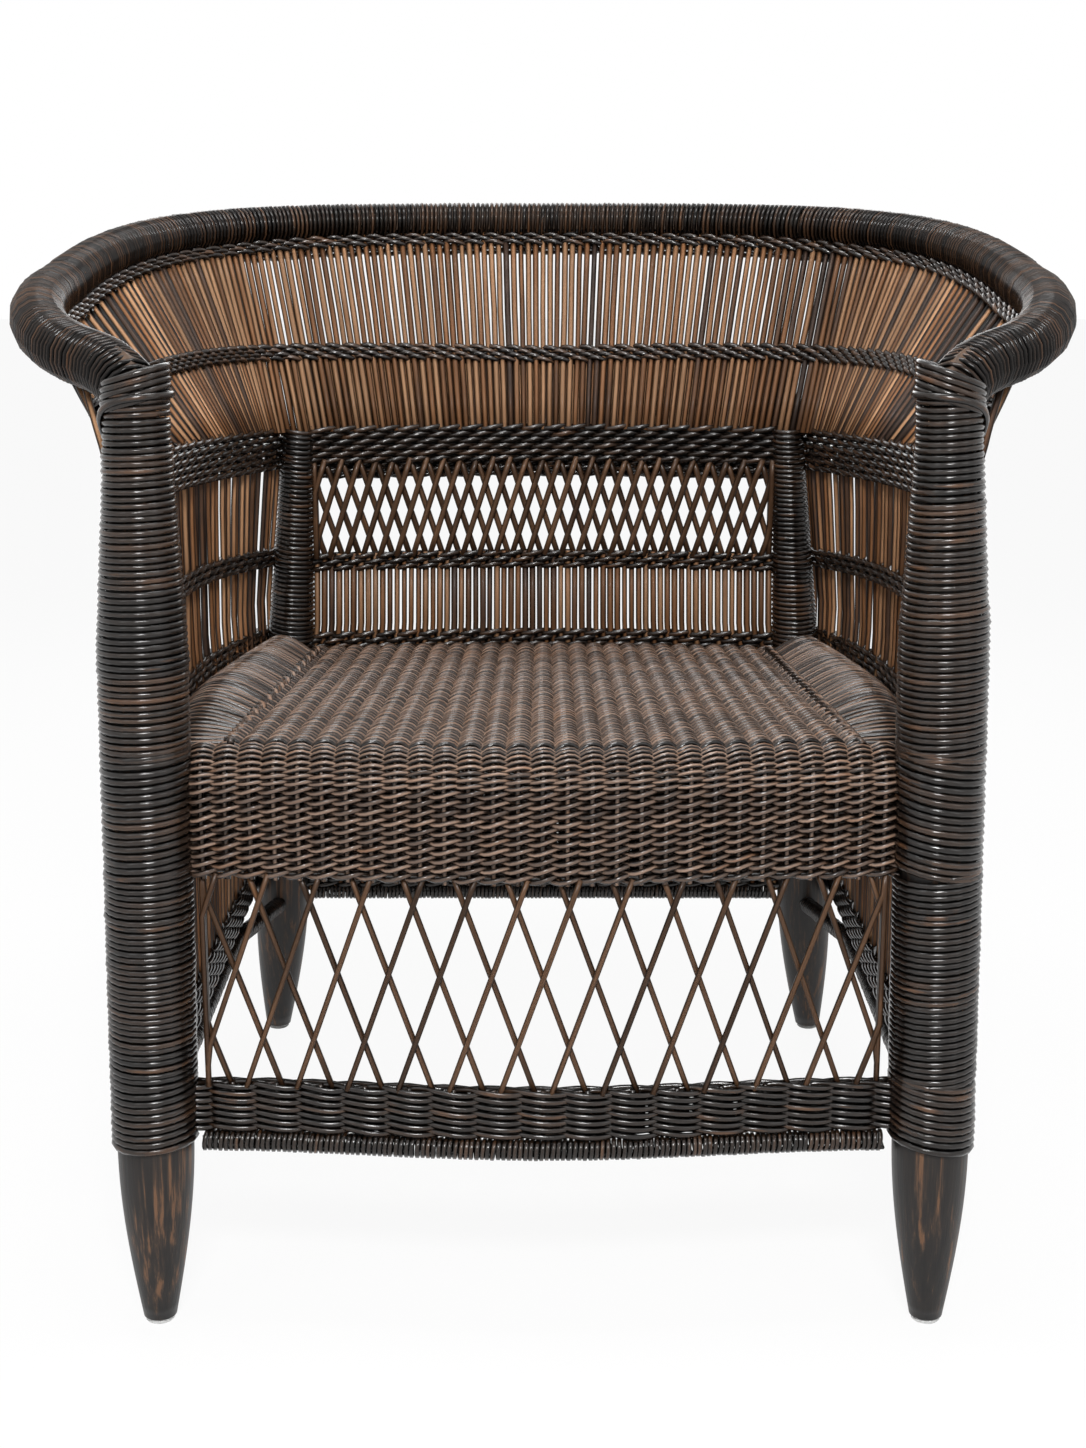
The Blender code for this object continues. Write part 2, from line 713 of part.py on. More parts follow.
def make_lower_walls():
    for side_name, side in SIDES.items():
        def foot(along):
            return wall_foot(side, along)

        def head(along):
            return wall_head(side, along)

        stake_wall(f"side_stakes_{side_name}", foot, head, SIDE_STAKES, WALL_FOOT_BAND, WALL_HEAD_BAND)

    def back_edge(height):
        return lambda along: back_wall(mix(-1, 1, along) * back_half(height, WALL_EDGE_GAP), height)

    stake_wall("back_stakes", back_edge(WALL_FOOT_HEIGHT), back_edge(BACK_ROW_HEIGHT), BACK_STAKES,
               WALL_FOOT_BAND, BACK_ROW_BAND)


def make_waist():
    gap = WAIST_THICKNESS / 2 + CLEARANCE
    for side_name, side in SIDES.items():
        def position(along, up):
            drop = (1 - up) * WAIST_BAND
            return side_line(side, along, WAIST_TOP_FRONT - drop, WAIST_TOP_REAR - drop, gap)

        band = grid_piece(f"waist_band_{side_name}", 6, 2, position)
        solidify(band, WAIST_THICKNESS)
        place(band, "espresso_cane")

    def position(along, up):
        height = WAIST_TOP_REAR - (1 - up) * WAIST_BAND
        return back_wall(mix(-1, 1, along) * back_half(height, gap), height)

    band = grid_piece("waist_band_back", 8, 2, position)
    solidify(band, WAIST_THICKNESS)
    place(band, "espresso_cane")


# Cord rows twined along the inner face of the walls


def wall_plane(side, along, front_height, rear_height):
    # A line across the side wall, on the straight stakes between its edges
    foot = wall_foot(side, along)
    head = wall_head(side, along)
    height = mix(front_height, rear_height, along)
    return foot.lerp(head, (height - foot.z) / (head.z - foot.z))


def wall_row(side, along, front_height, rear_height):
    row = wall_plane(side, along, front_height, rear_height)
    row.x -= side * (STAKE_THICKNESS / 2 + CORD_RADIUS + 2 * CLEARANCE)
    return row


def make_wall_cords():
    seat_front = SEAT_HEIGHT_FRONT + SEAT_CORD_LIFT_FRONT
    seat_rear = SEAT_HEIGHT_REAR + SEAT_CORD_LIFT_REAR
    rows = {"seat": (seat_front, seat_rear), "side": (SIDE_CORD_FRONT, SIDE_CORD_REAR)}
    shares = [mix(CORD_END_SHARE, CORD_REAR_SHARE, step / CORD_STEPS) for step in range(CORD_STEPS + 1)]
    for side_name, side in SIDES.items():
        for row, (front, rear) in rows.items():
            points = [wall_row(side, share, front, rear) for share in shares]
            place(tube(f"{row}_cord_{side_name}", points, CORD_RADIUS, 1), "espresso_cane")
    half = back_half(seat_rear, CORD_RADIUS + CLEARANCE)
    points = []
    for step in range(CORD_STEPS + 1):
        point = back_wall(mix(-half, half, step / CORD_STEPS), seat_rear)
        point.y -= STAKE_THICKNESS / 2 + CORD_RADIUS + 2 * CLEARANCE
        points.append(point)
    place(tube("seat_cord_back", points, CORD_RADIUS, 1), "espresso_cane")


# Rim and the flared wall under it


def bezier(start, leave, arrive, end, share):
    rest = 1 - share
    early = start * rest ** 3 + 3 * leave * rest ** 2 * share
    return early + 3 * arrive * rest * share ** 2 + end * share ** 3


class Route:
    # A smooth line and its mirror image, with a frame that turns no more than the line does.
    # It is read by share of length: 0 at the right end, 1 in the middle, 2 at the left end.

    def __init__(self, half_points):
        other_half = [Vector((-point.x, point.y, point.z)) for point in half_points[-2::-1]]
        self.points = half_points + other_half
        self.lengths = [0.0]
        self.sideways = []
        across = Vector((1, 0, 0))
        for start, end in zip(self.points, self.points[1:]):
            run = (end - start).normalized()
            across = (across - across.dot(run) * run).normalized()
            self.sideways.append(across)
            self.lengths.append(self.lengths[-1] + (end - start).length)

    def locate(self, share):
        target = min(max(share / 2, 0), 1) * self.lengths[-1]
        index = 0
        while index < len(self.points) - 2 and self.lengths[index + 1] < target:
            index += 1
        part = (target - self.lengths[index]) / (self.lengths[index + 1] - self.lengths[index])
        return index, part

    def at(self, share):
        index, part = self.locate(share)
        return self.points[index].lerp(self.points[index + 1], part)

    def run(self, share):
        middle = min(max(share, ROUTE_STEP), 2 - ROUTE_STEP)
        return (self.at(middle + ROUTE_STEP) - self.at(middle - ROUTE_STEP)).normalized()

    def frame(self, share):
        index, part = self.locate(share)
        run = self.run(share)
        after = self.sideways[min(index + 1, len(self.sideways) - 1)]
        across = self.sideways[index].lerp(after, part)
        across = (across - across.dot(run) * run).normalized()
        return self.at(share), across, across.cross(run)


def rim_corners():
    # Elbow over the post, widest point and middle of the back, for the right half
    post = front_axis(1, FRONT_POLE_TOP)
    elbow = post + Vector((RIM_ELBOW_REACH, RIM_ELBOW_DEPTH, RIM_ELBOW_RISE))
    side = Vector((RIM_SPREAD / 2, FRONT_Y + RIM_SIDE_DEPTH, RIM_SIDE_HEIGHT))
    back = Vector((0, FRONT_Y + RIM_BACK_DEPTH, RIM_BACK_HEIGHT))
    return post, elbow, side, back


def smooth_half(corners, leaves, arrives, steps):
    points = [corners[0]]
    for start, leave, arrive, end in zip(corners, leaves, arrives, corners[1:]):
        points += [bezier(start, leave, arrive, end, step / steps) for step in range(1, steps + 1)]
    return points


def rim_arm_route():
    # From the elbow round the back to the other elbow
    post, elbow, side, back = rim_corners()
    leaves = [elbow + RIM_ELBOW_PULL * RIM_HEADING, side + RIM_CORNER_PULL]
    arrives = [side - RIM_SIDE_PULL, back + RIM_BACK_PULL]
    return Route(smooth_half([elbow, side, back], leaves, arrives, RIM_CURVE_STEPS))


def rim_route(arm):
    # The same line with the bends that bring it down onto the posts
    post, elbow, side, back = rim_corners()
    knee = post + (BINDING_TOP - FRONT_POLE_TOP) * UP
    rise = knee + RIM_KNEE_PULL * UP
    arrive = elbow - RIM_KNEE_PULL * RIM_HEADING
    shares = [step / RIM_BEND_POINTS for step in range(RIM_BEND_POINTS)]
    bend = [bezier(knee, rise, arrive, elbow, share) for share in shares]
    return Route([post + 2 * CLEARANCE * UP, *bend, *arm.points[:len(arm.points) // 2 + 1]])


def rim_core_points(arm, rim):
    half = rim.points[:RIM_BEND_POINTS + 1] + [arm.at(step / RIM_POINTS) for step in range(RIM_POINTS)]
    return half + [arm.at(1)] + [Vector((-point.x, point.y, point.z)) for point in half[::-1]]


def waist_route():
    # Upper edge of the waist band, rounded behind the rear posts
    gap = WAIST_THICKNESS / 2 + CLEARANCE
    along = [step / FLARE_SIDE_STEPS for step in range(FLARE_SIDE_STEPS - 1)]
    round_corner = [step / FLARE_CORNER_STEPS for step in range(1, FLARE_CORNER_STEPS)]
    inwards = [0, *round_corner, 1]
    side = [side_line(1, share, WAIST_TOP_FRONT, WAIST_TOP_REAR, gap) for share in along]
    back = [back_wall(mix(FLARE_CORNER_SPREAD / 2, 0, share), WAIST_TOP_REAR) for share in inwards]
    leave = side[-1] + (side[-1] - side[-2]).normalized() * FLARE_CORNER_PULL
    arrive = back[0] + (back[0] - back[1]).normalized() * FLARE_CORNER_PULL
    corner = [bezier(side[-1], leave, arrive, back[0], share) for share in round_corner]
    return Route([point + FLARE_FOOT_LIFT * UP for point in side + corner + back])


def make_rim():
    arm = rim_arm_route()
    rim = rim_route(arm)
    place(tube("rim_core", rim_core_points(arm, rim), RIM_CORE_RADIUS, 1), "hidden_cane")
    waist = waist_route()

    def head(share):
        # The stake stops short of the wound rim, measured square to the rim.
        stake = (arm.at(share) - waist.at(share)).normalized()
        slant = stake.cross(arm.run(share)).length
        return arm.at(share) - stake * (RIM_RADIUS + FLARE_HEAD_GAP) / slant

    for index, (name, stakes) in enumerate(FLARE_STAKES.items()):
        begin = FLARE_CUTS[index] + (FLARE_CUT_SHARE if index else 0)
        end = FLARE_CUTS[index + 1] - (FLARE_CUT_SHARE if index < len(FLARE_STAKES) - 1 else 0)
        stake_wall(f"flare_stakes_{name}", lambda along: waist.at(mix(begin, end, along)),
                   lambda along: head(mix(begin, end, along)), stakes, FLARE_FOOT_BAND, FLARE_HEAD_BAND)

    cord = []
    for step in range(FLARE_CORD_POINTS + 1):
        share = mix(FLARE_CORD_END_SHARE, 2 - FLARE_CORD_END_SHARE, step / FLARE_CORD_POINTS)
        rise = mix(FLARE_CORD_FRONT, FLARE_CORD_REAR, ease(1 - abs(share - 1)))
        stake = head(share) - waist.at(share)
        inward = waist.run(share).cross(stake).normalized()
        offset = STAKE_THICKNESS / 2 + CORD_RADIUS + FLARE_CORD_GAP
        cord.append(waist.at(share) + rise * stake - offset * inward)
    place(tube("flare_cord", cord, CORD_RADIUS, 1), "espresso_cane")
    return rim


# Wound cane


def wound_ribbon(name, frame, start, end, radius, loops, unit):
    # One unbroken flat strand, wound on a line whose frame and radius are given along it;
    # unit is the length of line that one step of the line's own measure covers.
    gap = WRAP_GAP / unit
    pitch = (end - start + gap) / (loops + 1)
    width = pitch - gap
    mesh = bmesh.new()
    edges = []
    for step in range(loops * WRAP_POINTS + 1):
        turn = 2 * math.pi * step / WRAP_POINTS
        low = start + pitch * step / WRAP_POINTS
        pair = []
        for along in (low, low + width):
            middle, across, above = frame(along)
            reach = radius(along) - WRAP_THICKNESS / 2
            outward = math.cos(turn) * across + math.sin(turn) * above
            pair.append(mesh.verts.new(middle + reach * outward))
        edges.append(pair)
    for lower, upper in zip(edges, edges[1:]):
        mesh.faces.new((lower[0], lower[1], upper[1], upper[0]))
    neighbours = zip(edges, edges[WRAP_POINTS:])
    least = min((upper[0].co - lower[1].co).length for lower, upper in neighbours)
    print(f"{name}: least gap to itself {1000 * least:.2f} mm")
    wrap = mesh_piece(name, mesh)
    solidify(wrap, WRAP_THICKNESS)
    place(wrap, "espresso_cane")


def post_frame(axis, side):
    # Turned about on the left, so that its strand is the right one's mirror image
    def frame(height):
        return axis(side, height), Vector((side, 0, 0)), Vector((0, 1, 0))
    return frame


def mirrored(frame):
    def other(share):
        return [Vector((-vector.x, vector.y, vector.z)) for vector in frame(share)]
    return other


def make_collar(level, side_name, bottom, top):
    # Strands of the front band carried round the post, with holes where the rails pass
    side = SIDES[side_name]
    outer = FRONT_WRAP_RADIUS
    inner = outer - COLLAR_THICKNESS
    rise = top - bottom
    profile = [(inner, 0), (inner, rise), (outer, rise), (outer, 0), (inner, 0)]
    low = front_axis(side, bottom)
    collar = turned(f"{level}_collar_{side_name}", profile, TURNED_SIDES)
    collar.location = low
    collar.rotation_mode = "QUATERNION"
    collar.rotation_quaternion = (front_axis(side, top) - low).to_track_quat("Z", "Y")
    cut(collar, collar_cuts[level, side_name])
    place(collar, "espresso_cane")


def make_wraps(rim):
    for side_name, side in SIDES.items():
        make_collar("lower", side_name, LEG_HEIGHT + COLLAR_LEG_GAP, LOWER_BAND_TOP)
        make_collar("seat", side_name, SEAT_BAND_BOTTOM, SEAT_HEIGHT_FRONT)
        front = post_frame(front_axis, side)
        rear = post_frame(rear_axis, side)
        wound_ribbon(f"lower_post_wrap_{side_name}", front, LOWER_BAND_TOP + WRAP_GAP,
                     SEAT_BAND_BOTTOM - WRAP_GAP, front_outer, LOWER_WRAP_LOOPS, 1)
        wound_ribbon(f"upper_post_wrap_{side_name}", front, SEAT_HEIGHT_FRONT + WRAP_GAP,
                     FRONT_POLE_TOP, front_outer, UPPER_WRAP_LOOPS, 1)
        wound_ribbon(f"post_binding_{side_name}", front, FRONT_POLE_TOP + WRAP_GAP,
                     BINDING_TOP, lambda height: BINDING_RADIUS, BINDING_LOOPS, 1)
        wound_ribbon(f"rear_post_wrap_{side_name}", rear, SEAT_HEIGHT_REAR + REAR_WRAP_LIFT,
                     REAR_POLE_TOP - REAR_WRAP_DROP, rear_outer, REAR_WRAP_LOOPS, 1)
    unit = rim.lengths[-1] / 2
    knee = RIM_WRAP_START / unit
    joint = RIM_WRAP_JOINT / unit
    gap = WRAP_GAP / unit
    stretches = {
        "right": (rim.frame, knee, joint),
        "back": (rim.frame, joint + gap, 2 - joint - gap),
        "left": (mirrored(rim.frame), knee, joint),
    }
    for name, (frame, begin, end) in stretches.items():
        wound_ribbon(f"rim_wrap_{name}", frame, begin, end, lambda share: RIM_RADIUS, RIM_WRAP_LOOPS, unit)


make_rails()
make_poles()
make_glides()
make_front_bands()
make_seat()
make_rolls()
make_apron_lattice()
make_back_lattice()
make_lower_walls()
make_waist()
make_wall_cords()
make_wraps(make_rim())
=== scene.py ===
import bisect
import math
import random

import bmesh
import bpy
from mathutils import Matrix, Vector, noise


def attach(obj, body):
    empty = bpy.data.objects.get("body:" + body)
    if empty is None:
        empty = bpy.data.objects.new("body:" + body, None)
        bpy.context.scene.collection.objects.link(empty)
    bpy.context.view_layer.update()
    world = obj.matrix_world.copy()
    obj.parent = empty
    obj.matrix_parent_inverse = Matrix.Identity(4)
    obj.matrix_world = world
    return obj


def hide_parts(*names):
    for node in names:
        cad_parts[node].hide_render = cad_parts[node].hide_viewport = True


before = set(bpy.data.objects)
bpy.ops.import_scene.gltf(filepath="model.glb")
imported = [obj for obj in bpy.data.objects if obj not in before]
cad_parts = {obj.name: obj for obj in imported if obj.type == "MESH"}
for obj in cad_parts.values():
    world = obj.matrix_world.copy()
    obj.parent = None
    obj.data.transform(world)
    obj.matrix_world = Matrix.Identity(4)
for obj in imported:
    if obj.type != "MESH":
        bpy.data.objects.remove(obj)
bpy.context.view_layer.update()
upward = Vector((0, 0, 1))
sideSigns = {"left": -1, "right": 1}
print("frame loaded:", len(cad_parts), "nodes")

# where the chair's lines run, the same sizes as the solids

posts = {
    "frontY": -0.30985, "frontFoot": 0.263, "frontHead": 0.2515, "frontTop": 0.598,
    "frontRadius": 0.0293, "frontTopRadius": 0.0215, "taperStart": 0.47,
    "rearY": 0.22515, "rearRake": 0.045, "rearFoot": 0.2525, "rearHead": 0.2125, "rearTop": 0.565,
    "rearLeg": 0.024, "rearPole": 0.0165, "rearRadius": 0.0212, "rearTopRadius": 0.0135,
    "legHeight": 0.133, "frontLeg": 0.0255, "footRadius": 0.0105,
}
walls = {
    "railHeight": 0.1325, "railRadius": 0.0075, "waistFront": 0.5865, "waistRear": 0.5670, "waistHeight": 0.030,
    "sideBow": 0.018, "backBow": 0.038, "midRow": 0.456, "frontBow": 0.016,
    "seatFront": 0.404, "seatRear": 0.374,
}
rim = {
    "sideRadius": 0.0193, "backRadius": 0.0165, "halfSpread": 0.359, "backY": 0.32165, "backHeight": 0.7475,
    "sideY": -0.0398, "sideHeight": 0.690,
    "elbow": (0.038, 0.042, 0.050), "knee": 0.622, "kneePull": 0.012, "elbowPull": 0.022, "heading": (0.72, 0.64, 0.16),
    "fanReach": 0.14, "fanShift": 0.045, "fanOut": (0.022, -0.010),
}


def mix(low, high, share):
    return low + (high - low) * share


def clamp(value, low, high):
    return min(max(value, low), high)


def flip(point, side):
    return Vector((side * point[0], point[1], point[2]))


def frontAxis(side, height):
    return Vector((side * mix(posts["frontFoot"], posts["frontHead"], height / posts["frontTop"]), posts["frontY"], height))


def rearAxis(side, height):
    share = height / posts["rearTop"]
    return Vector((side * mix(posts["rearFoot"], posts["rearHead"], share), posts["rearY"] - posts["rearRake"] * share, height))


def frontOuter(height):
    share = clamp((height - posts["taperStart"]) / (posts["frontTop"] - posts["taperStart"]), 0, 1)
    return mix(posts["frontRadius"], posts["frontTopRadius"], share)


def rearOuter(height):
    share = (height - walls["seatRear"]) / (posts["rearTop"] - walls["seatRear"])
    if share < 0:
        return mix(posts["rearLeg"], posts["rearPole"], (height - posts["legHeight"]) / (walls["seatRear"] - posts["legHeight"]))
    return mix(posts["rearRadius"], posts["rearTopRadius"], min(share, 1))


def frontBow(across, half):
    return -walls["frontBow"] * math.cos(math.pi / 2 * min(1, abs(across) / half)) ** 2


def sideLine(side, along, frontHeight, rearHeight, gap=0.0):
    # from the back of the front post to the outside of the rear one
    front, rear = frontAxis(side, frontHeight), rearAxis(side, rearHeight)
    start = front + Vector((side * 0.004, frontOuter(frontHeight) + gap, 0))
    end = rear + Vector((side * (rearOuter(rearHeight) + 0.004), 0, 0))
    return start.lerp(end, along) + Vector((side * walls["sideBow"] * math.sin(math.pi * min(along, 1)), 0, 0))


def sideWall(side, along, frontHeight, rearHeight, gap=0.0):
    # the wall bows less towards its foot
    foot = walls["railHeight"] + walls["railRadius"]
    point = sideLine(side, along, frontHeight, rearHeight, gap)
    rise = (point.z - foot) / (mix(walls["waistFront"], walls["waistRear"], along) - walls["waistHeight"] - foot)
    point.x -= side * walls["sideBow"] * math.sin(math.pi * min(along, 1)) * (1 - min(rise, 1))
    return point


def backWall(across, height):
    post = rearAxis(1, height)
    rise = (height - walls["railHeight"]) / (walls["waistRear"] - walls["railHeight"])
    bow = walls["backBow"] * rise * math.cos(math.pi / 2 * min(1, abs(across) / post.x))
    return Vector((across, post.y + bow, height))


def backHalf(height, gap=0.0):
    return rearAxis(1, height).x - rearOuter(height) - gap


def bezier(start, leave, arrive, end, share):
    rest = 1 - share
    return start * rest ** 3 + leave * (3 * rest ** 2 * share) + arrive * (3 * rest * share ** 2) + end * share ** 3


class Line:
    # a smooth line read by its length, with a frame that twists as little as it can

    def __init__(self, points):
        self.points = points
        self.lengths = [0.0]
        self.frames = []
        first = (points[1] - points[0]).normalized()
        across = Vector((1, 0, 0)) if abs(first.x) < 0.8 else Vector((0, 1, 0))
        for index, point in enumerate(points):
            before, after = points[max(index - 1, 0)], points[min(index + 1, len(points) - 1)]
            run = (after - before).normalized()
            across = (across - run * across.dot(run)).normalized()
            self.frames.append((across.copy(), run))
            if index:
                self.lengths.append(self.lengths[-1] + (point - points[index - 1]).length)
        self.length = self.lengths[-1]

    def spot(self, along):
        along = clamp(along, 0, self.length)
        index = clamp(bisect.bisect_right(self.lengths, along) - 1, 0, len(self.points) - 2)
        return index, (along - self.lengths[index]) / (self.lengths[index + 1] - self.lengths[index])

    def at(self, along):
        index, part = self.spot(along)
        return self.points[index].lerp(self.points[index + 1], part)

    def frame(self, along):
        index, part = self.spot(along)
        across = self.frames[index][0].lerp(self.frames[index + 1][0], part).normalized()
        run = self.frames[index][1].lerp(self.frames[index + 1][1], part).normalized()
        return self.points[index].lerp(self.points[index + 1], part), across, across.cross(run), run


def bothHalves(half):
    return half + [flip(point, -1) for point in half[-2::-1]]


def armPoints():
    post = frontAxis(1, posts["frontTop"])
    elbow = post + Vector(rim["elbow"])
    side = Vector((rim["halfSpread"], rim["sideY"], rim["sideHeight"]))
    back = Vector((0, rim["backY"], rim["backHeight"]))
    first = [bezier(elbow, elbow + 0.055 * Vector(rim["heading"]), side - Vector((0, 0.12, 0.014)), side, step / 24)
             for step in range(24)]
    second = [bezier(side, side + Vector((0, 0.23, 0.05)), back + Vector((0.275, 0, 0)), back, step / 32)
              for step in range(33)]
    return first + second


def rimPoints():
    post = frontAxis(1, posts["frontTop"])
    knee = Vector((post.x, post.y, rim["knee"]))
    elbow = post + Vector(rim["elbow"])
    arrive = elbow - rim["elbowPull"] * Vector(rim["heading"])
    bend = [bezier(knee, knee + rim["kneePull"] * upward, arrive, elbow, step / 12) for step in range(12)]
    return [post] + bend + armPoints()


def waistPoints():
    side = [sideLine(1, step / 20, walls["waistFront"], walls["waistRear"], 0.0044) for step in range(19)]
    back = [backWall(mix(0.165, 0, step / 10), walls["waistRear"]) for step in range(11)]
    leave = side[-1] + (side[-1] - side[-2]).normalized() * 0.05
    arrive = back[0] + (back[0] - back[1]).normalized() * 0.05
    corner = [bezier(side[-1], leave, arrive, back[0], step / 10) for step in range(1, 10)]
    return side + corner + back


armLine = Line(bothHalves(armPoints()))
rimLine = Line(bothHalves(rimPoints()))
waistLine = Line(bothHalves(waistPoints()))


def rimRadius(share):
    # stout over the arms, slimmer across the back
    part = clamp(1 - abs(share * 2 - 1), 0, 1)
    return mix(rim["sideRadius"], rim["backRadius"], part * part * (3 - 2 * part))


def flareFoot(share):
    # the front sticks fan out from beside the post
    side = 1 if share < 0.5 else -1
    edge = min(share, 1 - share)
    fan = clamp(1 - edge / rim["fanReach"], 0, 1) ** 2
    place = max(edge - rim["fanShift"] * fan, 0)
    foot = waistLine.at((place if side > 0 else 1 - place) * waistLine.length)
    return foot + Vector((side * rim["fanOut"][0], rim["fanOut"][1], 0)) * fan


def flareHead(share):
    # on the wall's line, where it meets the underside of the wound rim
    head, _, _, run = armLine.frame(share * armLine.length)
    stake = (head - flareFoot(share)).normalized()
    return head - stake * rimRadius(share) / stake.cross(run).length


def flareStake(share):
    return flareHead(share) - flareFoot(share)


def flarePoint(share, rise):
    return flareFoot(share) + flareStake(share) * rise


def flareOut(share):
    # square to the flared wall, away from the sitter
    run = waistLine.frame(share * waistLine.length)[3]
    return run.cross(flareStake(share)).normalized()


# shader maths and finishes


class Socket:
    def __init__(self, finish, link):
        self.finish = finish
        self.link = link

    def math(self, operation, first, second):
        return self.finish.node("ShaderNodeMath", {"operation": operation}, {0: first, 1: second})

    def __add__(self, other):
        return self.math("ADD", self, other)

    def __radd__(self, other):
        return self.math("ADD", other, self)

    def __sub__(self, other):
        return self.math("SUBTRACT", self, other)

    def __rsub__(self, other):
        return self.math("SUBTRACT", other, self)

    def __mul__(self, other):
        return self.math("MULTIPLY", self, other)

    def __rmul__(self, other):
        return self.math("MULTIPLY", other, self)

    def __pow__(self, other):
        return self.math("POWER", self, other)


class Finish:
    def __init__(self, name, owner=None):
        self.material = owner or bpy.data.materials.new(name)
        self.material.use_nodes = True
        self.nodes = self.material.node_tree.nodes
        self.links = self.material.node_tree.links
        self.shader = self.nodes.get("Principled BSDF")

    def node(self, kind, settings, inputs, output=0):
        made = self.nodes.new(kind)
        for key, value in settings.items():
            if key == "stops":
                ramp = made.color_ramp
                while len(ramp.elements) < len(value):
                    ramp.elements.new(1)
                for element, (position, colour) in zip(ramp.elements, value):
                    element.position = position
                    element.color = (*colour, 1)
            else:
                setattr(made, key, value)
        for key, value in inputs.items():
            self.feed(made.inputs[key], value)
        return Socket(self, made.outputs[output])

    def feed(self, target, value):
        if isinstance(value, Socket):
            self.links.new(value.link, target)
        else:
            target.default_value = value

    def surface(self, **inputs):
        for key, value in inputs.items():
            self.feed(self.shader.inputs[key.replace("_", " ")], value)

    def vector(self, x, y, z):
        return self.node("ShaderNodeCombineXYZ", {}, {0: x, 1: y, 2: z})

    def noise(self, vector, scale, detail=3.0, rough=0.55):
        return self.node("ShaderNodeTexNoise", {}, {"Vector": vector, "Scale": scale, "Detail": detail, "Roughness": rough})

    def ramp(self, value, stops):
        return self.node("ShaderNodeValToRGB", {"stops": stops}, {0: value})

    def mask(self, value, low, high):
        return self.node("ShaderNodeMapRange", {"clamp": True}, {0: value, 1: low, 2: high, 3: 0.0, 4: 1.0})

    def blend(self, factor, first, second, mode="MIX"):
        return self.node("ShaderNodeMix", {"data_type": "RGBA", "blend_type": mode},
                         {0: factor, 6: first, 7: second}, 2)

    def bump(self, height, distance, strength=1.0):
        return self.node("ShaderNodeBump", {}, {"Height": height, "Distance": distance, "Strength": strength})


caneFinishes = {
    # tones run from the darkest strand to the palest; worn is what shows where the stain has gone; edge sets how far
    # the painted shade on each strand's flanks reaches
    "espresso": {
        "tones": [(0.0, (0.006, 0.0040, 0.0031)), (0.4, (0.013, 0.0082, 0.0058)), (0.75, (0.032, 0.0182, 0.0112)),
                  (1.0, (0.080, 0.041, 0.022))],
        "worn": (0.170, 0.075, 0.031), "wornFrom": 0.60, "roughness": 0.22, "coat": 0.26, "gloss": 0.36, "strand": 0.40, "patch": 0.5, "streak": 14.0, "dim": 0.77,
        "edge": (0.20, 0.90),
    },
    "stick": {
        "tones": [(0.0, (0.003, 0.0018, 0.0013)), (0.08, (0.024, 0.0142, 0.0098)), (0.25, (0.064, 0.038, 0.027)), (0.45, (0.135, 0.062, 0.028)),
                  (0.75, (0.235, 0.106, 0.046)), (1.0, (0.350, 0.190, 0.100))],
        "worn": (0.060, 0.033, 0.020), "wornFrom": 0.70, "roughness": 0.44, "coat": 0.02, "gloss": 0.14, "strand": 0.75, "patch": 0.4, "streak": 9.0, "dim": 0.83,
        "edge": (0.36, 0.95),
    },
    "lattice": {
        "tones": [(0.0, (0.034, 0.018, 0.010)), (0.5, (0.086, 0.044, 0.023)), (1.0, (0.155, 0.080, 0.042))],
        "worn": (0.220, 0.105, 0.047), "wornFrom": 0.62, "roughness": 0.36, "coat": 0.06, "gloss": 0.18, "strand": 0.45, "patch": 0.5, "streak": 14.0, "dim": 0.82,
        "edge": (0.12, 0.74),
    },
    "seat": {
        "tones": [(0.0, (0.034, 0.021, 0.015)), (0.35, (0.110, 0.070, 0.050)), (0.7, (0.220, 0.142, 0.103)),
                  (1.0, (0.360, 0.232, 0.165))],
        "worn": (0.280, 0.132, 0.062), "wornFrom": 0.58, "roughness": 0.25, "coat": 0.22, "gloss": 0.34, "strand": 0.95, "patch": 0.5, "streak": 14.0, "dim": 1.00,
        "edge": (0.42, 1.00),
    },
}
# sticks at the sides are paler, with a wider painted shade on their flanks
caneFinishes["armStick"] = {
    **caneFinishes["stick"], "edge": (0.42, 0.96),
    "tones": [(stop, tuple(1.6 * part for part in tone)) for stop, tone in caneFinishes["stick"]["tones"]],
}
# the rim's winding is duller than the posts', with painted shade over more of each strand's flanks
caneFinishes["rim"] = {
    **caneFinishes["espresso"], "gloss": 0.15, "coat": 0.10, "edge": (0.55, 1.0), "strand": 0.80, "dim": 0.90,
    "tones": [(stop, tuple(1.1 * part for part in tone)) for stop, tone in caneFinishes["espresso"]["tones"]],
}


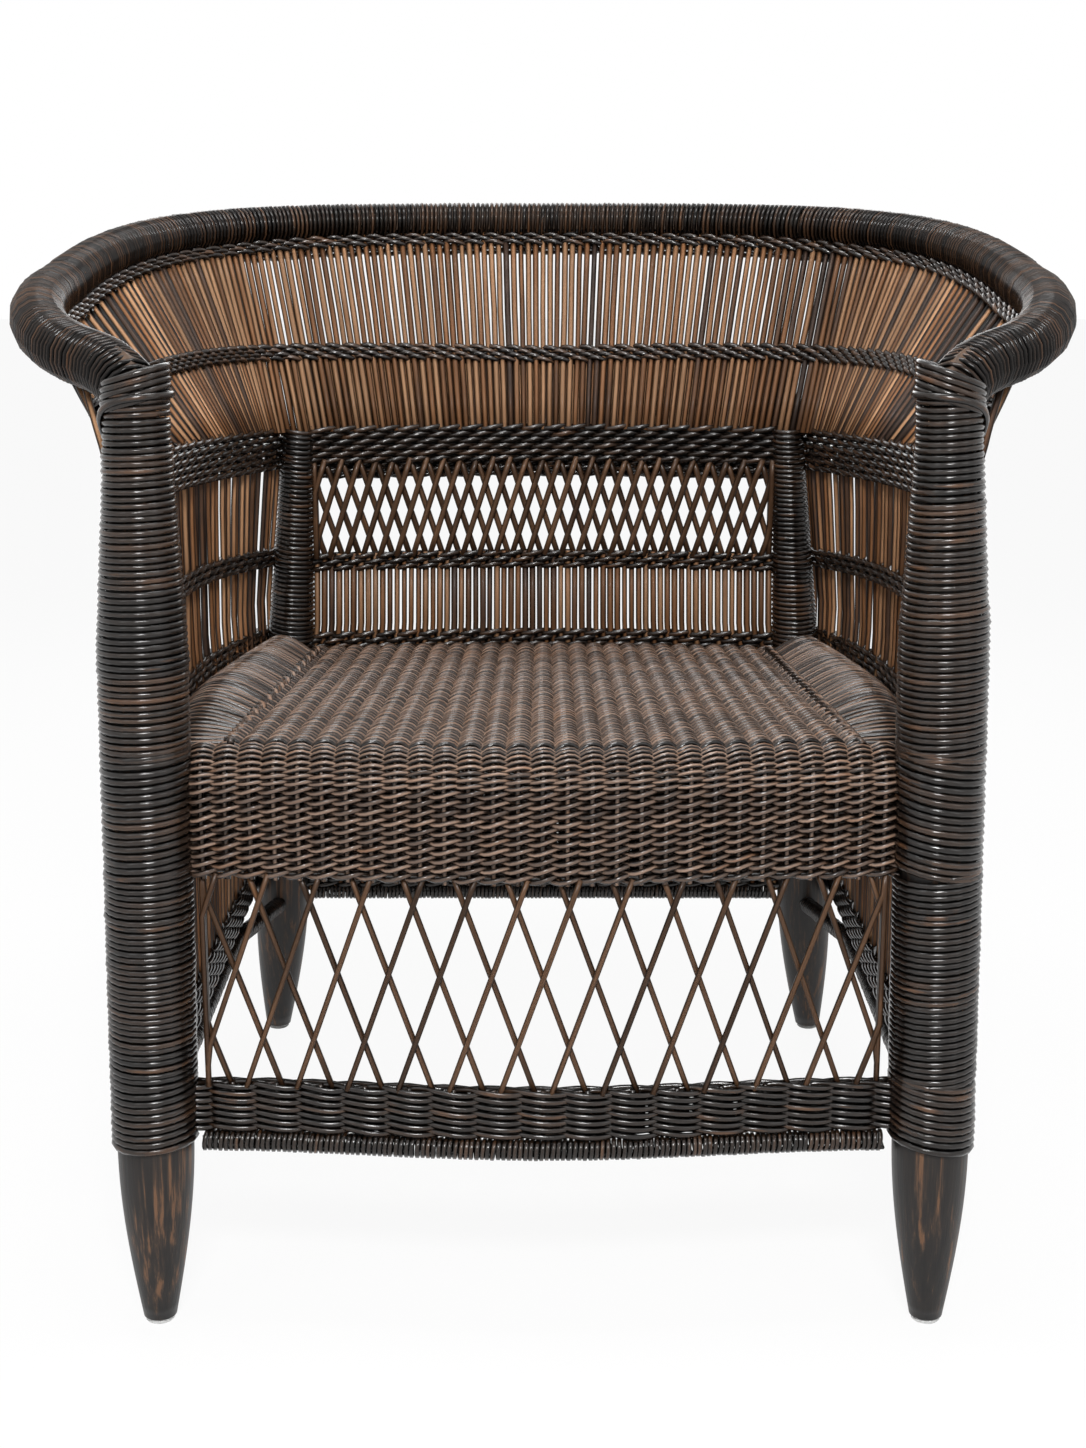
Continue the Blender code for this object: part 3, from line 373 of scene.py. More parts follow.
def caneFinish(name):
    # the grain attribute holds metres along the strand, share of the way round it and the strand's own number
    look = caneFinishes[name]
    finish = Finish(name + "Cane")
    grain = finish.node("ShaderNodeAttribute", {"attribute_name": "grain"}, {}, 1)
    parts = [finish.node("ShaderNodeSeparateXYZ", {}, {0: grain}, output) for output in range(3)]
    along, around, strand = parts
    fibre = finish.noise(finish.vector(along * look["streak"], around * 7.0, strand * 61.0), 1.0, 4.0, 0.6)
    patch = finish.noise(finish.vector(along * 17.0, around * 1.2, strand * 43.0), 1.0, 3.0, 0.6)
    slow = finish.noise(finish.vector(along * 3.5, strand * 29.0, 0.0), 1.0, 2.0, 0.5)
    tone = finish.mask(strand * look["strand"] + slow * 0.8 + patch * look["patch"] + fibre * 0.4, look["dim"] - 0.22, look["dim"] + 0.58)
    colour = finish.ramp(tone, look["tones"])
    worn = finish.mask(patch, look["wornFrom"], look["wornFrom"] + 0.12)
    colour = finish.blend(worn * 0.75, colour, (*look["worn"], 1))
    colour = finish.blend(finish.mask(fibre, 0.25, 0.75), finish.blend(0.55, colour, (0, 0, 0, 1)), colour)
    # painted shade on each strand's two flanks, a quarter of the way round from the side it lies against
    flankShadeMask = finish.node("ShaderNodeMath", {"operation": "COSINE"}, {0: around * (2 * math.pi)})
    flankShadeMask = finish.mask(flankShadeMask * flankShadeMask, *look["edge"])
    colour = finish.blend(flankShadeMask, finish.blend(0.94, colour, (0, 0, 0, 1)), colour)
    height = fibre + worn * 0.35
    finish.surface(Base_Color=colour, Roughness=fibre * 0.24 + (look["roughness"] - 0.12) + worn * 0.08,
                   Normal=finish.bump(height, 0.0004, 0.8))
    finish.shader.inputs["Coat Weight"].default_value = look["coat"]
    finish.shader.inputs["Coat Roughness"].default_value = 0.12
    finish.shader.inputs["Specular IOR Level"].default_value = look["gloss"]
    return finish.material


def woodFinish():
    finish = Finish("legWood")
    spot = finish.node("ShaderNodeTexCoord", {}, {}, 3)
    x, y, z = [finish.node("ShaderNodeSeparateXYZ", {}, {0: spot}, output) for output in range(3)]
    streak = finish.noise(finish.vector(x * 260.0, y * 260.0, z * 7.0), 1.0, 5.0, 0.62)
    broad = finish.noise(finish.vector(x * 45.0, y * 45.0, z * 7.0), 1.0, 3.0, 0.5)
    colour = finish.ramp(streak * 0.85 + broad * 0.45 - 0.15, [
        (0.36, (0.0060, 0.0050, 0.0046)), (0.52, (0.014, 0.0105, 0.0088)), (0.59, (0.040, 0.0240, 0.0155)),
        (0.66, (0.140, 0.068, 0.033))])
    finish.surface(Base_Color=colour, Roughness=streak * 0.22 + 0.33, Normal=finish.bump(streak, 0.0006, 0.7))
    finish.shader.inputs["Coat Weight"].default_value = 0.08
    finish.shader.inputs["Coat Roughness"].default_value = 0.35
    finish.shader.inputs["Specular IOR Level"].default_value = 0.35
    return finish.material


def plasticFinish():
    finish = Finish("glidePlastic")
    spot = finish.node("ShaderNodeTexCoord", {}, {}, 3)
    scuff = finish.noise(spot, 420.0, 4.0, 0.6)
    colour = finish.ramp(scuff, [(0.3, (0.60, 0.60, 0.59)), (0.6, (0.76, 0.76, 0.75))])
    finish.surface(Base_Color=colour, Roughness=scuff * 0.3 + 0.3, Normal=finish.bump(scuff, 0.0002, 0.4))
    return finish.material


def poleFinish():
    # the plain cane poles that lie hidden under seat and winding
    finish = Finish("poleCane")
    spot = finish.node("ShaderNodeTexCoord", {}, {}, 3)
    mottle = finish.noise(spot, 90.0, 5.0, 0.6)
    colour = finish.ramp(mottle, [(0.3, (0.020, 0.013, 0.009)), (0.55, (0.060, 0.034, 0.020)), (0.75, (0.120, 0.062, 0.031))])
    finish.surface(Base_Color=colour, Roughness=mottle * 0.3 + 0.38, Normal=finish.bump(mottle, 0.0005, 0.6))
    return finish.material


finishes = {name: caneFinish(name) for name in caneFinishes}
finishes.update({"wood": woodFinish(), "plastic": plasticFinish(), "pole": poleFinish()})
print("finishes made:", len(finishes))


# laying cane


def startPiece():
    mesh = bmesh.new()
    mesh.verts.layers.float_vector.new("grain")
    return mesh


def oval(thick, wide, sides):
    # a strand's section, starting on the side that lies against what it is wound on
    return [(thick * math.cos(math.pi + 2 * math.pi * step / sides), wide * math.sin(math.pi + 2 * math.pi * step / sides))
            for step in range(sides)]


def layCane(mesh, rings, section, strand):
    # each ring is (middle, outward, beside); the grid is rolled up round them
    sides = len(section)
    grid = bmesh.ops.create_grid(mesh, x_segments=len(rings) - 1, y_segments=sides, size=0.5)
    grain = mesh.verts.layers.float_vector["grain"]
    lengths = [0.0]
    for before, after in zip(rings, rings[1:]):
        lengths.append(lengths[-1] + (after[0] - before[0]).length)
    for vert in grid["verts"]:
        ring = round((vert.co.x + 0.5) * (len(rings) - 1))
        corner = round((vert.co.y + 0.5) * sides)
        middle, outward, beside = rings[ring]
        thick, wide = section[corner % sides]
        vert.co = middle + outward * thick + beside * wide
        # counted both ways from the seam, where the first and last corners merge
        turned = min(corner, sides - corner) / sides if sides % 2 == 0 else corner / sides
        vert[grain] = (lengths[ring], turned, strand)


def pathRings(points, outward):
    # outward is a vector, or one vector for each point
    rings = []
    for index, point in enumerate(points):
        run = (points[min(index + 1, len(points) - 1)] - points[max(index - 1, 0)]).normalized()
        away = outward[index] if isinstance(outward, list) else outward
        away = (away - run * away.dot(run)).normalized()
        rings.append((point, away, run.cross(away)))
    return rings


def putPiece(name, mesh, finish, nodes=()):
    bmesh.ops.remove_doubles(mesh, verts=mesh.verts, dist=1e-7)
    bmesh.ops.holes_fill(mesh, edges=[edge for edge in mesh.edges if edge.is_boundary])
    bmesh.ops.recalc_face_normals(mesh, faces=mesh.faces)
    for face in mesh.faces:
        face.smooth = len(face.verts) == 4
    data = bpy.data.meshes.new(name)
    mesh.to_mesh(data)
    mesh.free()
    data.materials.append(finishes[finish])
    piece = bpy.data.objects.new(name, data)
    bpy.context.scene.collection.objects.link(piece)
    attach(piece, "root")
    if nodes:
        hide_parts(*nodes)
    return piece


# turned legs and glides

legLook = {"sides": 40, "footRings": 14}


def turnPiece(name, profile, low, high, finish, node):
    mesh = startPiece()
    verts = [mesh.verts.new((radius, 0, height)) for radius, height in profile]
    edges = [mesh.edges.new(pair) for pair in zip(verts, verts[1:])]
    bmesh.ops.spin(mesh, geom=verts + edges, cent=(0, 0, 0), axis=(0, 0, 1), angle=2 * math.pi,
                   steps=legLook["sides"], use_merge=True)
    bmesh.ops.remove_doubles(mesh, verts=mesh.verts, dist=1e-6)
    lean = (high - low) / (high.z - low.z)
    for vert in mesh.verts:
        vert.co = low + lean * vert.co.z + Vector((vert.co.x, vert.co.y, 0))
    return putPiece(name, mesh, finish, [node])


def legProfile(legRadius, upper):
    rings = legLook["footRings"]
    foot = []
    for ring in range(rings + 1):
        height = mix(0.0042, posts["legHeight"], ring / rings)
        swell = math.sin(math.pi / 2 * height / posts["legHeight"])
        foot.append((mix(posts["footRadius"], legRadius, swell), height))
    return [(0, 0.0042)] + [(foot[0][0] - 0.0012, 0.0042)] + foot + upper + [(0, upper[-1][1])]


for sideName, side in sideSigns.items():
    for row, axis, radius, upper in (
        ("front", frontAxis, posts["frontLeg"], [(0.0240, 0.137), (0.0240, 0.47), (0.0162, posts["frontTop"])]),
        ("rear", rearAxis, posts["rearLeg"], [(posts["rearPole"], walls["seatRear"]), (0.0090, posts["rearTop"])]),
    ):
        turnPiece(f"{row}Leg.{sideName}", legProfile(radius, upper), axis(side, 0), axis(side, 0.5), "wood",
                  f"{row}_pole_{sideName}")
        disc = [(0, 0.0040), (0.0092, 0.0040), (0.0098, 0.0032), (0.0098, 0.0012), (0.0090, 0.0003), (0.0080, 0.0), (0, 0.0)]
        turnPiece(f"{row}Glide.{sideName}", disc, axis(side, 0), axis(side, 0) + upward, "plastic",
                  f"foot_glide_{row}_{sideName}")
print("legs and glides turned")

# cane wound round posts, rails and rim

winding = {"pitch": 0.0042, "thick": 0.0017, "wide": 0.00208, "steps": 20, "sides": 6, "strand": 130, "tilt": 0.0019}


def windRings(line, start, end, reach, look, seed, risingAt):
    # risingAt points to the side on which the turns sit higher
    turns = (end - start) / look["pitch"]
    count = int(turns * look["steps"])
    rings = []
    for index in range(count + 1):
        turn = index / look["steps"]
        angle = 2 * math.pi * turn
        along = start + look["pitch"] * turn
        middle, across, above, run = line.frame(along)
        outward = across * math.cos(angle) + above * math.sin(angle)
        spot = Vector((turn * 0.9, math.cos(angle) * 0.5 + seed, math.sin(angle) * 0.5))
        lift = noise.noise(spot) * 0.00045
        slip = noise.noise(spot + Vector((31, 7, 3))) * 0.00060 + outward.dot(risingAt(along))
        rings.append((middle + outward * (reach(along) + lift) + run * slip, outward, run))
    return rings


def windPiece(name, line, start, end, outer, look, nodes, seed, risingAt=lambda along: Vector()):
    mesh = startPiece()
    section = oval(look["thick"], look["wide"], look["sides"])
    rings = windRings(line, start, end, lambda along: outer(along) - look["thick"], look, seed, risingAt)
    # a strand is about two metres long, so the winding is joined from many of them
    length = look.get("strand", 420)
    draw = random.Random(seed)
    for first in range(0, len(rings) - 1, length):
        layCane(mesh, rings[first:first + length + 1], section, draw.random())
    return putPiece(name, mesh, look.get("finish", "espresso"), nodes)


def bulge(height, seed):
    # here and there a few turns ride over a strand's end
    lumps = [noise.noise(Vector((height * 38.0, seed, 0.0))), noise.noise(Vector((height * 90.0, seed, 4.0)))]
    return max(0.0, lumps[0] - 0.32) * 0.0030 + max(0.0, lumps[1] - 0.4) * 0.0022


seed = 1
for sideName, side in sideSigns.items():
    front = Line([frontAxis(side, step / 20) for step in range(14)])
    lean = front.length / 0.65
    for part, low, high in (("lower", 0.1795, 0.3235), ("upper", 0.4005, 0.630)):
        windPiece(f"postWinding.{part}.{sideName}", front, low * lean, high * lean,
                  lambda along: frontOuter(along / lean) + bulge(along, side), winding,
                  [f"{part}_post_wrap_{sideName}"], seed, lambda along: Vector((winding["tilt"], 0, 0)))
        seed += 1
    rear = Line([rearAxis(side, 0.3 + step / 20) for step in range(7)])
    tilt = rear.length / 0.3
    windPiece(f"rearWinding.{sideName}", rear, 0.074 * tilt, 0.268 * tilt, lambda along: rearOuter(0.3 + along / tilt),
              winding, [f"rear_post_wrap_{sideName}"], seed)
    seed += 1
print("posts wound")

rimWinding = {"pitch": 0.0043, "thick": 0.0019, "wide": 0.0020, "steps": 14, "sides": 6, "strand": 22, "finish": "rim"}
strapWinding = {"pitch": 0.0041, "thick": 0.0020, "wide": 0.0022, "steps": 24, "sides": 8, "strand": 24,
                "low": 0.6225, "high": 0.6425, "outer": (0.0226, 0.0216), "tilt": 0.0068}
rimCuts = {"right": (0.018, 0.690), "back": (0.690, rimLine.length - 0.690),
           "left": (rimLine.length - 0.690, rimLine.length - 0.018)}
bendLength = (rimLine.length - armLine.length) / 2
for name, (start, end) in rimCuts.items():
    windPiece(f"rimWinding.{name}", rimLine, start, end, lambda along: rimRadius((along - bendLength) / armLine.length), rimWinding,
              [f"rim_wrap_{name}"], seed)
    seed += 1
for sideName, side in sideSigns.items():
    # straps round the post's top, lower on the outside, with one that crosses them
    low, high = strapWinding["low"], strapWinding["high"]
    top = Line([frontAxis(side, mix(low - 0.01, high + 0.01, step / 8)) for step in range(9)])
    length = top.length - 0.02

    def strapShare(along):
        return clamp((along - 0.01) / length, 0, 1)

    windPiece(f"elbowBinding.{sideName}", top, 0.01, 0.01 + length, lambda along: mix(*strapWinding["outer"], strapShare(along)),
              strapWinding, [f"post_binding_{sideName}"], seed,
              lambda along: Vector((-side * strapWinding["tilt"], 0, 0)))
    mesh = startPiece()
    points, outs = [], []
    for step in range(25):
        share = mix(-0.12, 1.12, step / 24)
        out = Vector((-side * math.cos(math.pi * share), -math.sin(math.pi * share), 0))
        height = 0.6277 - 0.0189 * clamp(share, 0, 1.1) ** 3.6
        outs.append(out)
        points.append(frontAxis(side, height) + out * 0.0222)
    layCane(mesh, pathRings(points, outs), oval(0.0019, 0.0024, 8), 0.5)
    putPiece(f"elbowStrap.{sideName}", mesh, "espresso")
    seed += 1
print("rim wound")

# strands of the front bands, carried round the posts

collarWinding = {"pitch": 0.0049, "thick": 0.0019, "wide": 0.0024, "steps": 20, "sides": 6, "strand": 47, "tilt": 0.0035}
for sideName, side in sideSigns.items():
    front = Line([frontAxis(side, step / 20) for step in range(14)])
    lean = front.length / 0.65
    for part, low, high in (("lower", 0.1340, 0.1832), ("seat", 0.3225, 0.4040)):
        windPiece(f"{part}Collar.{sideName}", front, low * lean, high * lean,
                  lambda along: frontOuter(along / lean) + bulge(along * 1.7, side + 5), collarWinding,
                  [f"{part}_collar_{sideName}"], seed, lambda along: Vector((-side * collarWinding["tilt"], 0, 0)))
        seed += 1

railWinding = {"pitch": 0.0036, "thick": 0.0011, "wide": 0.0018, "steps": 12, "sides": 5, "strand": 40, "outer": 0.0076}


def bandFront(across, height):
    return Vector((across, posts["frontY"] + frontBow(across, frontAxis(1, height).x - 0.0236), height))


def frontHalf(height, gap=0.0):
    return frontAxis(1, height).x - frontOuter(height) - gap


railHeight = walls["railHeight"]
railLines = {"front": Line([bandFront(mix(-1, 1, step / 40) * frontHalf(railHeight, 0.0005), railHeight) for step in range(41)]),
             "rear": Line([backWall(mix(-1, 1, step / 8) * backHalf(railHeight, 0.0005), railHeight + 0.006) for step in range(9)])}
for sideName, side in sideSigns.items():
    outer = [sideWall(side, step / 12, railHeight, railHeight, 0.0005) for step in range(10)]
    leg = rearAxis(side, railHeight)
    leg.y -= posts["rearLeg"] - 0.004
    railLines[sideName] = Line(outer + [outer[-1].lerp(leg, step / 4) for step in range(1, 5)])
for name, line in railLines.items():
    windPiece(f"railWinding.{name}", line, 0.0022, line.length - 0.0022, lambda along: railWinding["outer"], railWinding,
              [f"lower_rail_{name}"], seed)
    seed += 1
print("collars and rails wound")

# sticks of the walls

sticks = {"radius": 0.0022, "backRadius": 0.0029, "flareRadius": 0.0026, "flareBackRadius": 0.0029, "sides": 6, "sideCount": 40, "backCount": 64, "flareCount": 165, "crook": 0.0009,
          "sideCrook": 0.0030, "armSpacing": 0.28, "overlap": 0.05, "besideShare": 0.0022}
draw = random.Random(4)


def layStick(mesh, pointAt, outward, radius, rings=6, crookedness=sticks["crook"], gapShade=0.0):
    # a stick laid as painted shade behind a gap takes only the darkest tones
    strand = draw.random() * (1 - gapShade) - gapShade
    thick = radius * mix(0.88, 1.14, draw.random())
    shift = Vector((draw.random() * 90, draw.random() * 90, 0))
    points = []
    for ring in range(rings):
        share = ring / (rings - 1)
        crook = noise.noise_vector(shift + Vector((0, 0, share * 2.4))) * crookedness
        points.append(pointAt(share) + crook * math.sin(math.pi * share))
    layCane(mesh, pathRings(points, outward), oval(thick, thick, sticks["sides"]), strand)


for sideName, side in sideSigns.items():
    mesh = startPiece()
    for index in range(sticks["sideCount"]):
        along = (index + mix(0.15, 0.85, draw.random())) / sticks["sideCount"] * (1 + sticks["overlap"])
        foot = railHeight + railWinding["outer"]
        # the pale crests face mostly front and rear, the painted shade on the flanks that face the sides
        layStick(mesh, lambda share: sideWall(side, along, mix(foot, walls["waistFront"] - 0.010, share),
                                              mix(foot, walls["waistRear"] - 0.010, share), 0.002),
                 Vector((0.35 * side, 1, 0)).normalized(), sticks["radius"], 10, sticks["sideCrook"])
    putPiece(f"sideSticks.{sideName}", mesh, "armStick", [f"side_stakes_{sideName}"])
mesh = startPiece()
for index in range(sticks["backCount"]):
    across = mix(-1, 1, (index + 0.5) / sticks["backCount"])
    foot = railHeight + railWinding["outer"]

    def backSpot(share):
        height = mix(foot, walls["midRow"] + 0.002, share)
        return backWall(across * backHalf(height, -0.001), height)

    layStick(mesh, backSpot, Vector((0, 1, 0)), sticks["backRadius"])
putPiece("backSticks", mesh, "stick", ["back_stakes"])

flareCuts = {"right": (0, 0.23), "back_right": (0.23, 0.34), "back": (0.34, 0.66), "back_left": (0.66, 0.77), "left": (0.77, 1)}


def armRise(share):
    # how far up the flare its row runs
    part = 1 - abs(share * 2 - 1)
    return mix(0.52, 0.370, part ** 0.75)


def flareShares():
    # wider apart along the arms than across the back
    steps = 400
    sums = [0.0]
    for step in range(steps):
        part = clamp((1 - abs((step + 0.5) / steps * 2 - 1) - 0.30) / 0.30, 0, 1)
        sums.append(sums[-1] + mix(sticks["armSpacing"], 1, part * part * (3 - 2 * part)))
    shares = []
    for index in range(sticks["flareCount"]):
        target = (index + 0.5) / sticks["flareCount"] * sums[-1]
        step = bisect.bisect_right(sums, target) - 1
        shares.append((step + (target - sums[step]) / (sums[step + 1] - sums[step])) / steps)
    return shares


flareAt = flareShares()
for name, (start, end) in flareCuts.items():
    mesh = startPiece()
    for share, following in zip(flareAt, flareAt[1:] + [1.0]):
        if start <= share < end:
            out = flareOut(share)
            radius = sticks["flareRadius"] if name in sideSigns else sticks["flareBackRadius"]
            # the pale crests face front and rear; the painted shade falls on the flanks that face the sides
            unshadedFacing = (out * 0.35 + Vector((0, 1, 0))).normalized()
            layStick(mesh, lambda rise: flarePoint(share, mix(-0.012, 1.02, rise)), unshadedFacing, radius)
            # a short stick behind, up to the row across the flare
            beside = share + sticks["besideShare"]
            if 0.12 < share < 0.88:
                layStick(mesh, lambda rise: flarePoint(beside, mix(-0.012, armRise(beside), rise)) + out * 0.0042, unshadedFacing, sticks["radius"])
            # along the arms a stick in the darkest tones stands behind each gap, painted shade seen through the gap
            between = (share + following) / 2
            if 0.03 < share < 0.25 or 0.75 < share < 0.97:
                layStick(mesh, lambda rise: flarePoint(between, mix(-0.012, 1.0, rise)) + out * 0.0008, unshadedFacing,
                         sticks["radius"], gapShade=0.7)
    putPiece(f"flareSticks.{name}", mesh, "armStick" if name in sideSigns else "stick", [f"flare_stakes_{name}"])
print("sticks set")

# rows twined through the sticks, two strands that swap faces every two sticks

twine = {"thick": 0.0020, "wide": 0.0024, "sides": 6, "reach": 0.0040, "rise": 0.0014, "stepsPerStick": 3,
         "sideTurns": 50, "backTurns": 66, "flareTurns": 276, "endShare": 0.08}


def twineRow(mesh, pointAt, outAt, upAt, first, last, shift=0.0):
    section = oval(twine["thick"], twine["wide"], twine["sides"])
    count = int((last - first) * twine["stepsPerStick"])
    for turn in (0, 1):
        points, outs = [], []
        for step in range(count + 1):
            place = mix(first, last, step / count)
            angle = math.pi * (place / 3 + turn + shift)
            wave = math.copysign(abs(math.sin(angle)) ** 0.65, math.sin(angle))
            out = outAt(place)
            outs.append(out)
            points.append(pointAt(place) + out * twine["reach"] * wave + upAt(place) * twine["rise"] * math.cos(angle))
        layCane(mesh, pathRings(points, outs), section, draw.random())


def sideRows(name, side, frontHeights, rearHeights, nodes, lift=0.0):
    mesh = startPiece()
    count = twine["sideTurns"]
    for row, (frontHeight, rearHeight) in enumerate(zip(frontHeights, rearHeights)):
        def spot(place):
            arch = lift * math.sin(math.pi * min(place / count, 1))
            return sideWall(side, place / count, frontHeight + arch, rearHeight + arch, 0.0005)

        twineRow(mesh, spot, lambda place: Vector((side, 0, 0)), lambda place: upward, 0, count * (1 + sticks["overlap"]), row * 0.5)
    return putPiece(name, mesh, "espresso", nodes)


def backRows(name, heights, nodes, behind=0.0):
    mesh = startPiece()
    count = twine["backTurns"]
    for row, height in enumerate(heights):
        twineRow(mesh, lambda place: backWall(mix(-1, 1, place / count) * backHalf(height, -0.003), height) + Vector((0, behind, 0)),
                 lambda place: Vector((0, 1, 0)), lambda place: upward, 0, count, row * 0.5)
    return putPiece(name, mesh, "espresso", nodes)


def spaced(top, count, pitch):
    return [top - pitch * row for row in range(count)]


for sideName, side in sideSigns.items():
    sideRows(f"waistRows.{sideName}", side, spaced(0.5850, 6, 0.0053), spaced(0.5675, 6, 0.0061), [f"waist_band_{sideName}"])
    sideRows(f"armRows.{sideName}", side, spaced(0.4865, 3, 0.0056), spaced(0.4610, 3, 0.0052), [f"side_cord_{sideName}"], 0.0065)
    sideRows(f"seatRows.{sideName}", side, spaced(0.4080, 5, 0.0056), spaced(0.3890, 5, 0.0052), [f"seat_cord_{sideName}"], 0.0085)
    sideRows(f"footRows.{sideName}", side, spaced(0.1720, 6, 0.0052), spaced(0.1720, 6, 0.0052), [])
backRows("waistRows.back", spaced(0.5675, 6, 0.0053), ["waist_band_back"])
backRows("midRows.back", spaced(0.4556, 3, 0.0050), [])
backRows("seatRows.back", spaced(0.3840, 5, 0.0052), ["seat_cord_back"])
backRows("headRows.back", spaced(0.5370, 3, 0.0050), [], 0.0075)
backRows("footRows.back", spaced(0.1720, 6, 0.0052), [])


def flareRows(name, rises, first, last, nodes, behind=0.0):
    mesh = startPiece()
    count = twine["flareTurns"]

    def spot(share, rise):
        # at the arms' ends the row draws in beside the post
        draws = clamp(1 - min(share, 1 - share) / twine["endShare"], 0, 1)
        return flarePoint(share, rise) + flareOut(share) * (behind - twine["reach"] * 1.3 * draws)

    for row, riseAt in enumerate(rises):
        twineRow(mesh, lambda place: spot(place / count, riseAt(place / count)), lambda place: flareOut(place / count),
                 lambda place: flareStake(place / count).normalized(),
                 first * count, last * count, row * 0.5)
    return putPiece(name, mesh, "espresso", nodes)


def below(drop, riseAt):
    return lambda share: riseAt(share) - drop / flareStake(share).length


flareRows("flareRows", [below(drop, armRise) for drop in (-0.0052, -0.0018, 0.0018, 0.0052)], 0.015, 0.985, ["flare_cord"])
flareRows("rimRows", [below(drop, lambda share: 1.0) for drop in (0.0002, 0.0036, 0.0070)], 0.03, 0.97, [])
flareRows("rimBackRows", [below(drop, lambda share: 1.0) for drop in (0.0095,)], 0.12, 0.88, [], 0.0068)
print("rows twined")

# the woven front bands and the seat, one sheet that rolls over the front edge

seat = {
    "ribPitch": 0.0158, "bandBottom": 0.317, "edgeRadius": 0.020, "edgeTop": 0.399, "rearHeight": 0.369, "rearGap": 0.006,
    "halfFront": 0.2075, "halfRear": 0.2010, "bandRow": 0.0062, "edgeRow": 0.0039, "seatRow": 0.0098, "stake": 0.0022,
    "bandStrand": (0.0018, 0.0019), "edgeStrand": (0.0014, 0.0016), "seatStrand": (0.0021, 0.0037),
    "reach": 0.0036, "seatReach": 0.0050, "swing": -0.0016,
}


def sheetSpot(across, along):
    # along runs up the band from its lower edge, over the rounded edge and back to the seat's rear
    base = bandFront(across, seat["edgeTop"]).y
    upright = seat["edgeTop"] - seat["edgeRadius"] - seat["bandBottom"]
    arc = math.pi / 2 * seat["edgeRadius"]
    if along < upright:
        return Vector((across, base, seat["bandBottom"] + along)), Vector((0, -1, 0)), upward
    if along < upright + arc:
        angle = (along - upright) / seat["edgeRadius"]
        out = Vector((0, -math.cos(angle), math.sin(angle)))
        middle = Vector((across, base + seat["edgeRadius"], seat["edgeTop"] - seat["edgeRadius"]))
        return middle + out * seat["edgeRadius"], out, Vector((0, math.sin(angle), math.cos(angle)))
    start = Vector((across, base + seat["edgeRadius"], seat["edgeTop"]))
    share = (along - upright - arc) / sheetFlat
    rear = across * seat["halfRear"] / seat["halfFront"]
    end = Vector((rear, backWall(rear, seat["rearHeight"]).y - seat["rearGap"], seat["rearHeight"]))
    run = (end - start).normalized()
    return start.lerp(end, share), Vector((1, 0, 0)).cross(run), run


sheetFlat = backWall(0, seat["rearHeight"]).y - seat["rearGap"] - posts["frontY"] - seat["edgeRadius"]
sheetEdge = seat["edgeTop"] - seat["edgeRadius"] - seat["bandBottom"] + math.pi / 2 * seat["edgeRadius"]


def sheetRow(mesh, spotAt, half, pitch, strandSize, reach, swing, steps, along, wander=0.0, shift=0.0, back=0.0, tone=0.5):
    # one twined row: two strands that change faces between one stake and the next
    section = oval(strandSize[0], strandSize[1], 6)
    count = round(2 * half / pitch) * steps
    for turn in (0, 1):
        points, outs = [], []
        for step in range(count + 1):
            across = mix(-half, half, step / count)
            angle = math.pi * (across / pitch + 0.5 + turn + shift)
            drift = noise.noise(Vector((across * 25.0, along * 40.0, turn * 9.0))) * wander
            spot, out, run = spotAt(across, along + swing * math.cos(angle) + drift)
            wave = math.copysign(abs(math.sin(angle)) ** 0.7, math.sin(angle))
            outs.append(out)
            points.append(spot + out * (reach * wave - back))
        layCane(mesh, pathRings(points, outs), section, mix(tone, draw.random(), 0.5))


def sheetStakes(mesh, spotAt, half, pitch, first, last, rings, radius):
    count = int(half / pitch)
    for index in range(-count, count + 1):
        spots = [spotAt(index * pitch, mix(first, last, step / (rings - 1))) for step in range(rings)]
        layCane(mesh, pathRings([spot[0] for spot in spots], [spot[1] for spot in spots]), oval(radius, radius, 6), draw.random())


mesh = startPiece()
upright = sheetEdge - math.pi / 2 * seat["edgeRadius"]
rows = round(upright / seat["bandRow"])
for row in range(rows):
    along = (row + 0.5) * upright / rows
    half = frontHalf(seat["bandBottom"] + along, -0.0050)
    sheetRow(mesh, sheetSpot, half, seat["ribPitch"], seat["bandStrand"], seat["reach"], seat["swing"], 5, along, 0.0016)
    sheetRow(mesh, sheetSpot, half, seat["ribPitch"], (0.0012, 0.0031), 0.0012, seat["swing"], 2, along + 0.002, 0.0, 0.5, 0.0058)
rows = round((sheetEdge - upright) / seat["edgeRow"])
for row in range(rows):
    along = mix(upright, sheetEdge, (row + 0.5) / rows)
    half = frontHalf(seat["edgeTop"], -0.0050)
    sheetRow(mesh, sheetSpot, half, seat["ribPitch"], seat["edgeStrand"], seat["reach"], seat["swing"] / 2, 4, along, 0.0010)
sheetStakes(mesh, sheetSpot, 0.2255, seat["ribPitch"], -0.001, sheetEdge + 0.004, 14, seat["stake"])
putPiece("seatBand", mesh, "seat", ["seat_front_band"])

mesh = startPiece()
rows = round(sheetFlat / seat["seatRow"])
for row in range(rows):
    along = sheetEdge + (row + 0.5) * sheetFlat / rows
    sheetRow(mesh, sheetSpot, seat["halfFront"], seat["ribPitch"], seat["seatStrand"], seat["seatReach"], seat["swing"], 6,
             along, 0.0008, tone=0.1 + 0.8 * (row % 2))
putPiece("seatTop", mesh, "seat", ["seat_weave"])
mesh = startPiece()
sheetStakes(mesh, sheetSpot, seat["halfFront"], seat["ribPitch"], sheetEdge + 0.005, sheetEdge + sheetFlat, 6, seat["stake"])
putPiece("seatStakes", mesh, "seat")

lowerBand = {"bottom": 0.1400, "top": 0.1745, "row": 0.0048, "stakePitch": 0.0296, "strand": (0.0014, 0.0020), "reach": 0.0033}


def lowerSpot(across, along):
    return bandFront(across, lowerBand["bottom"] + along), Vector((0, -1, 0)), upward


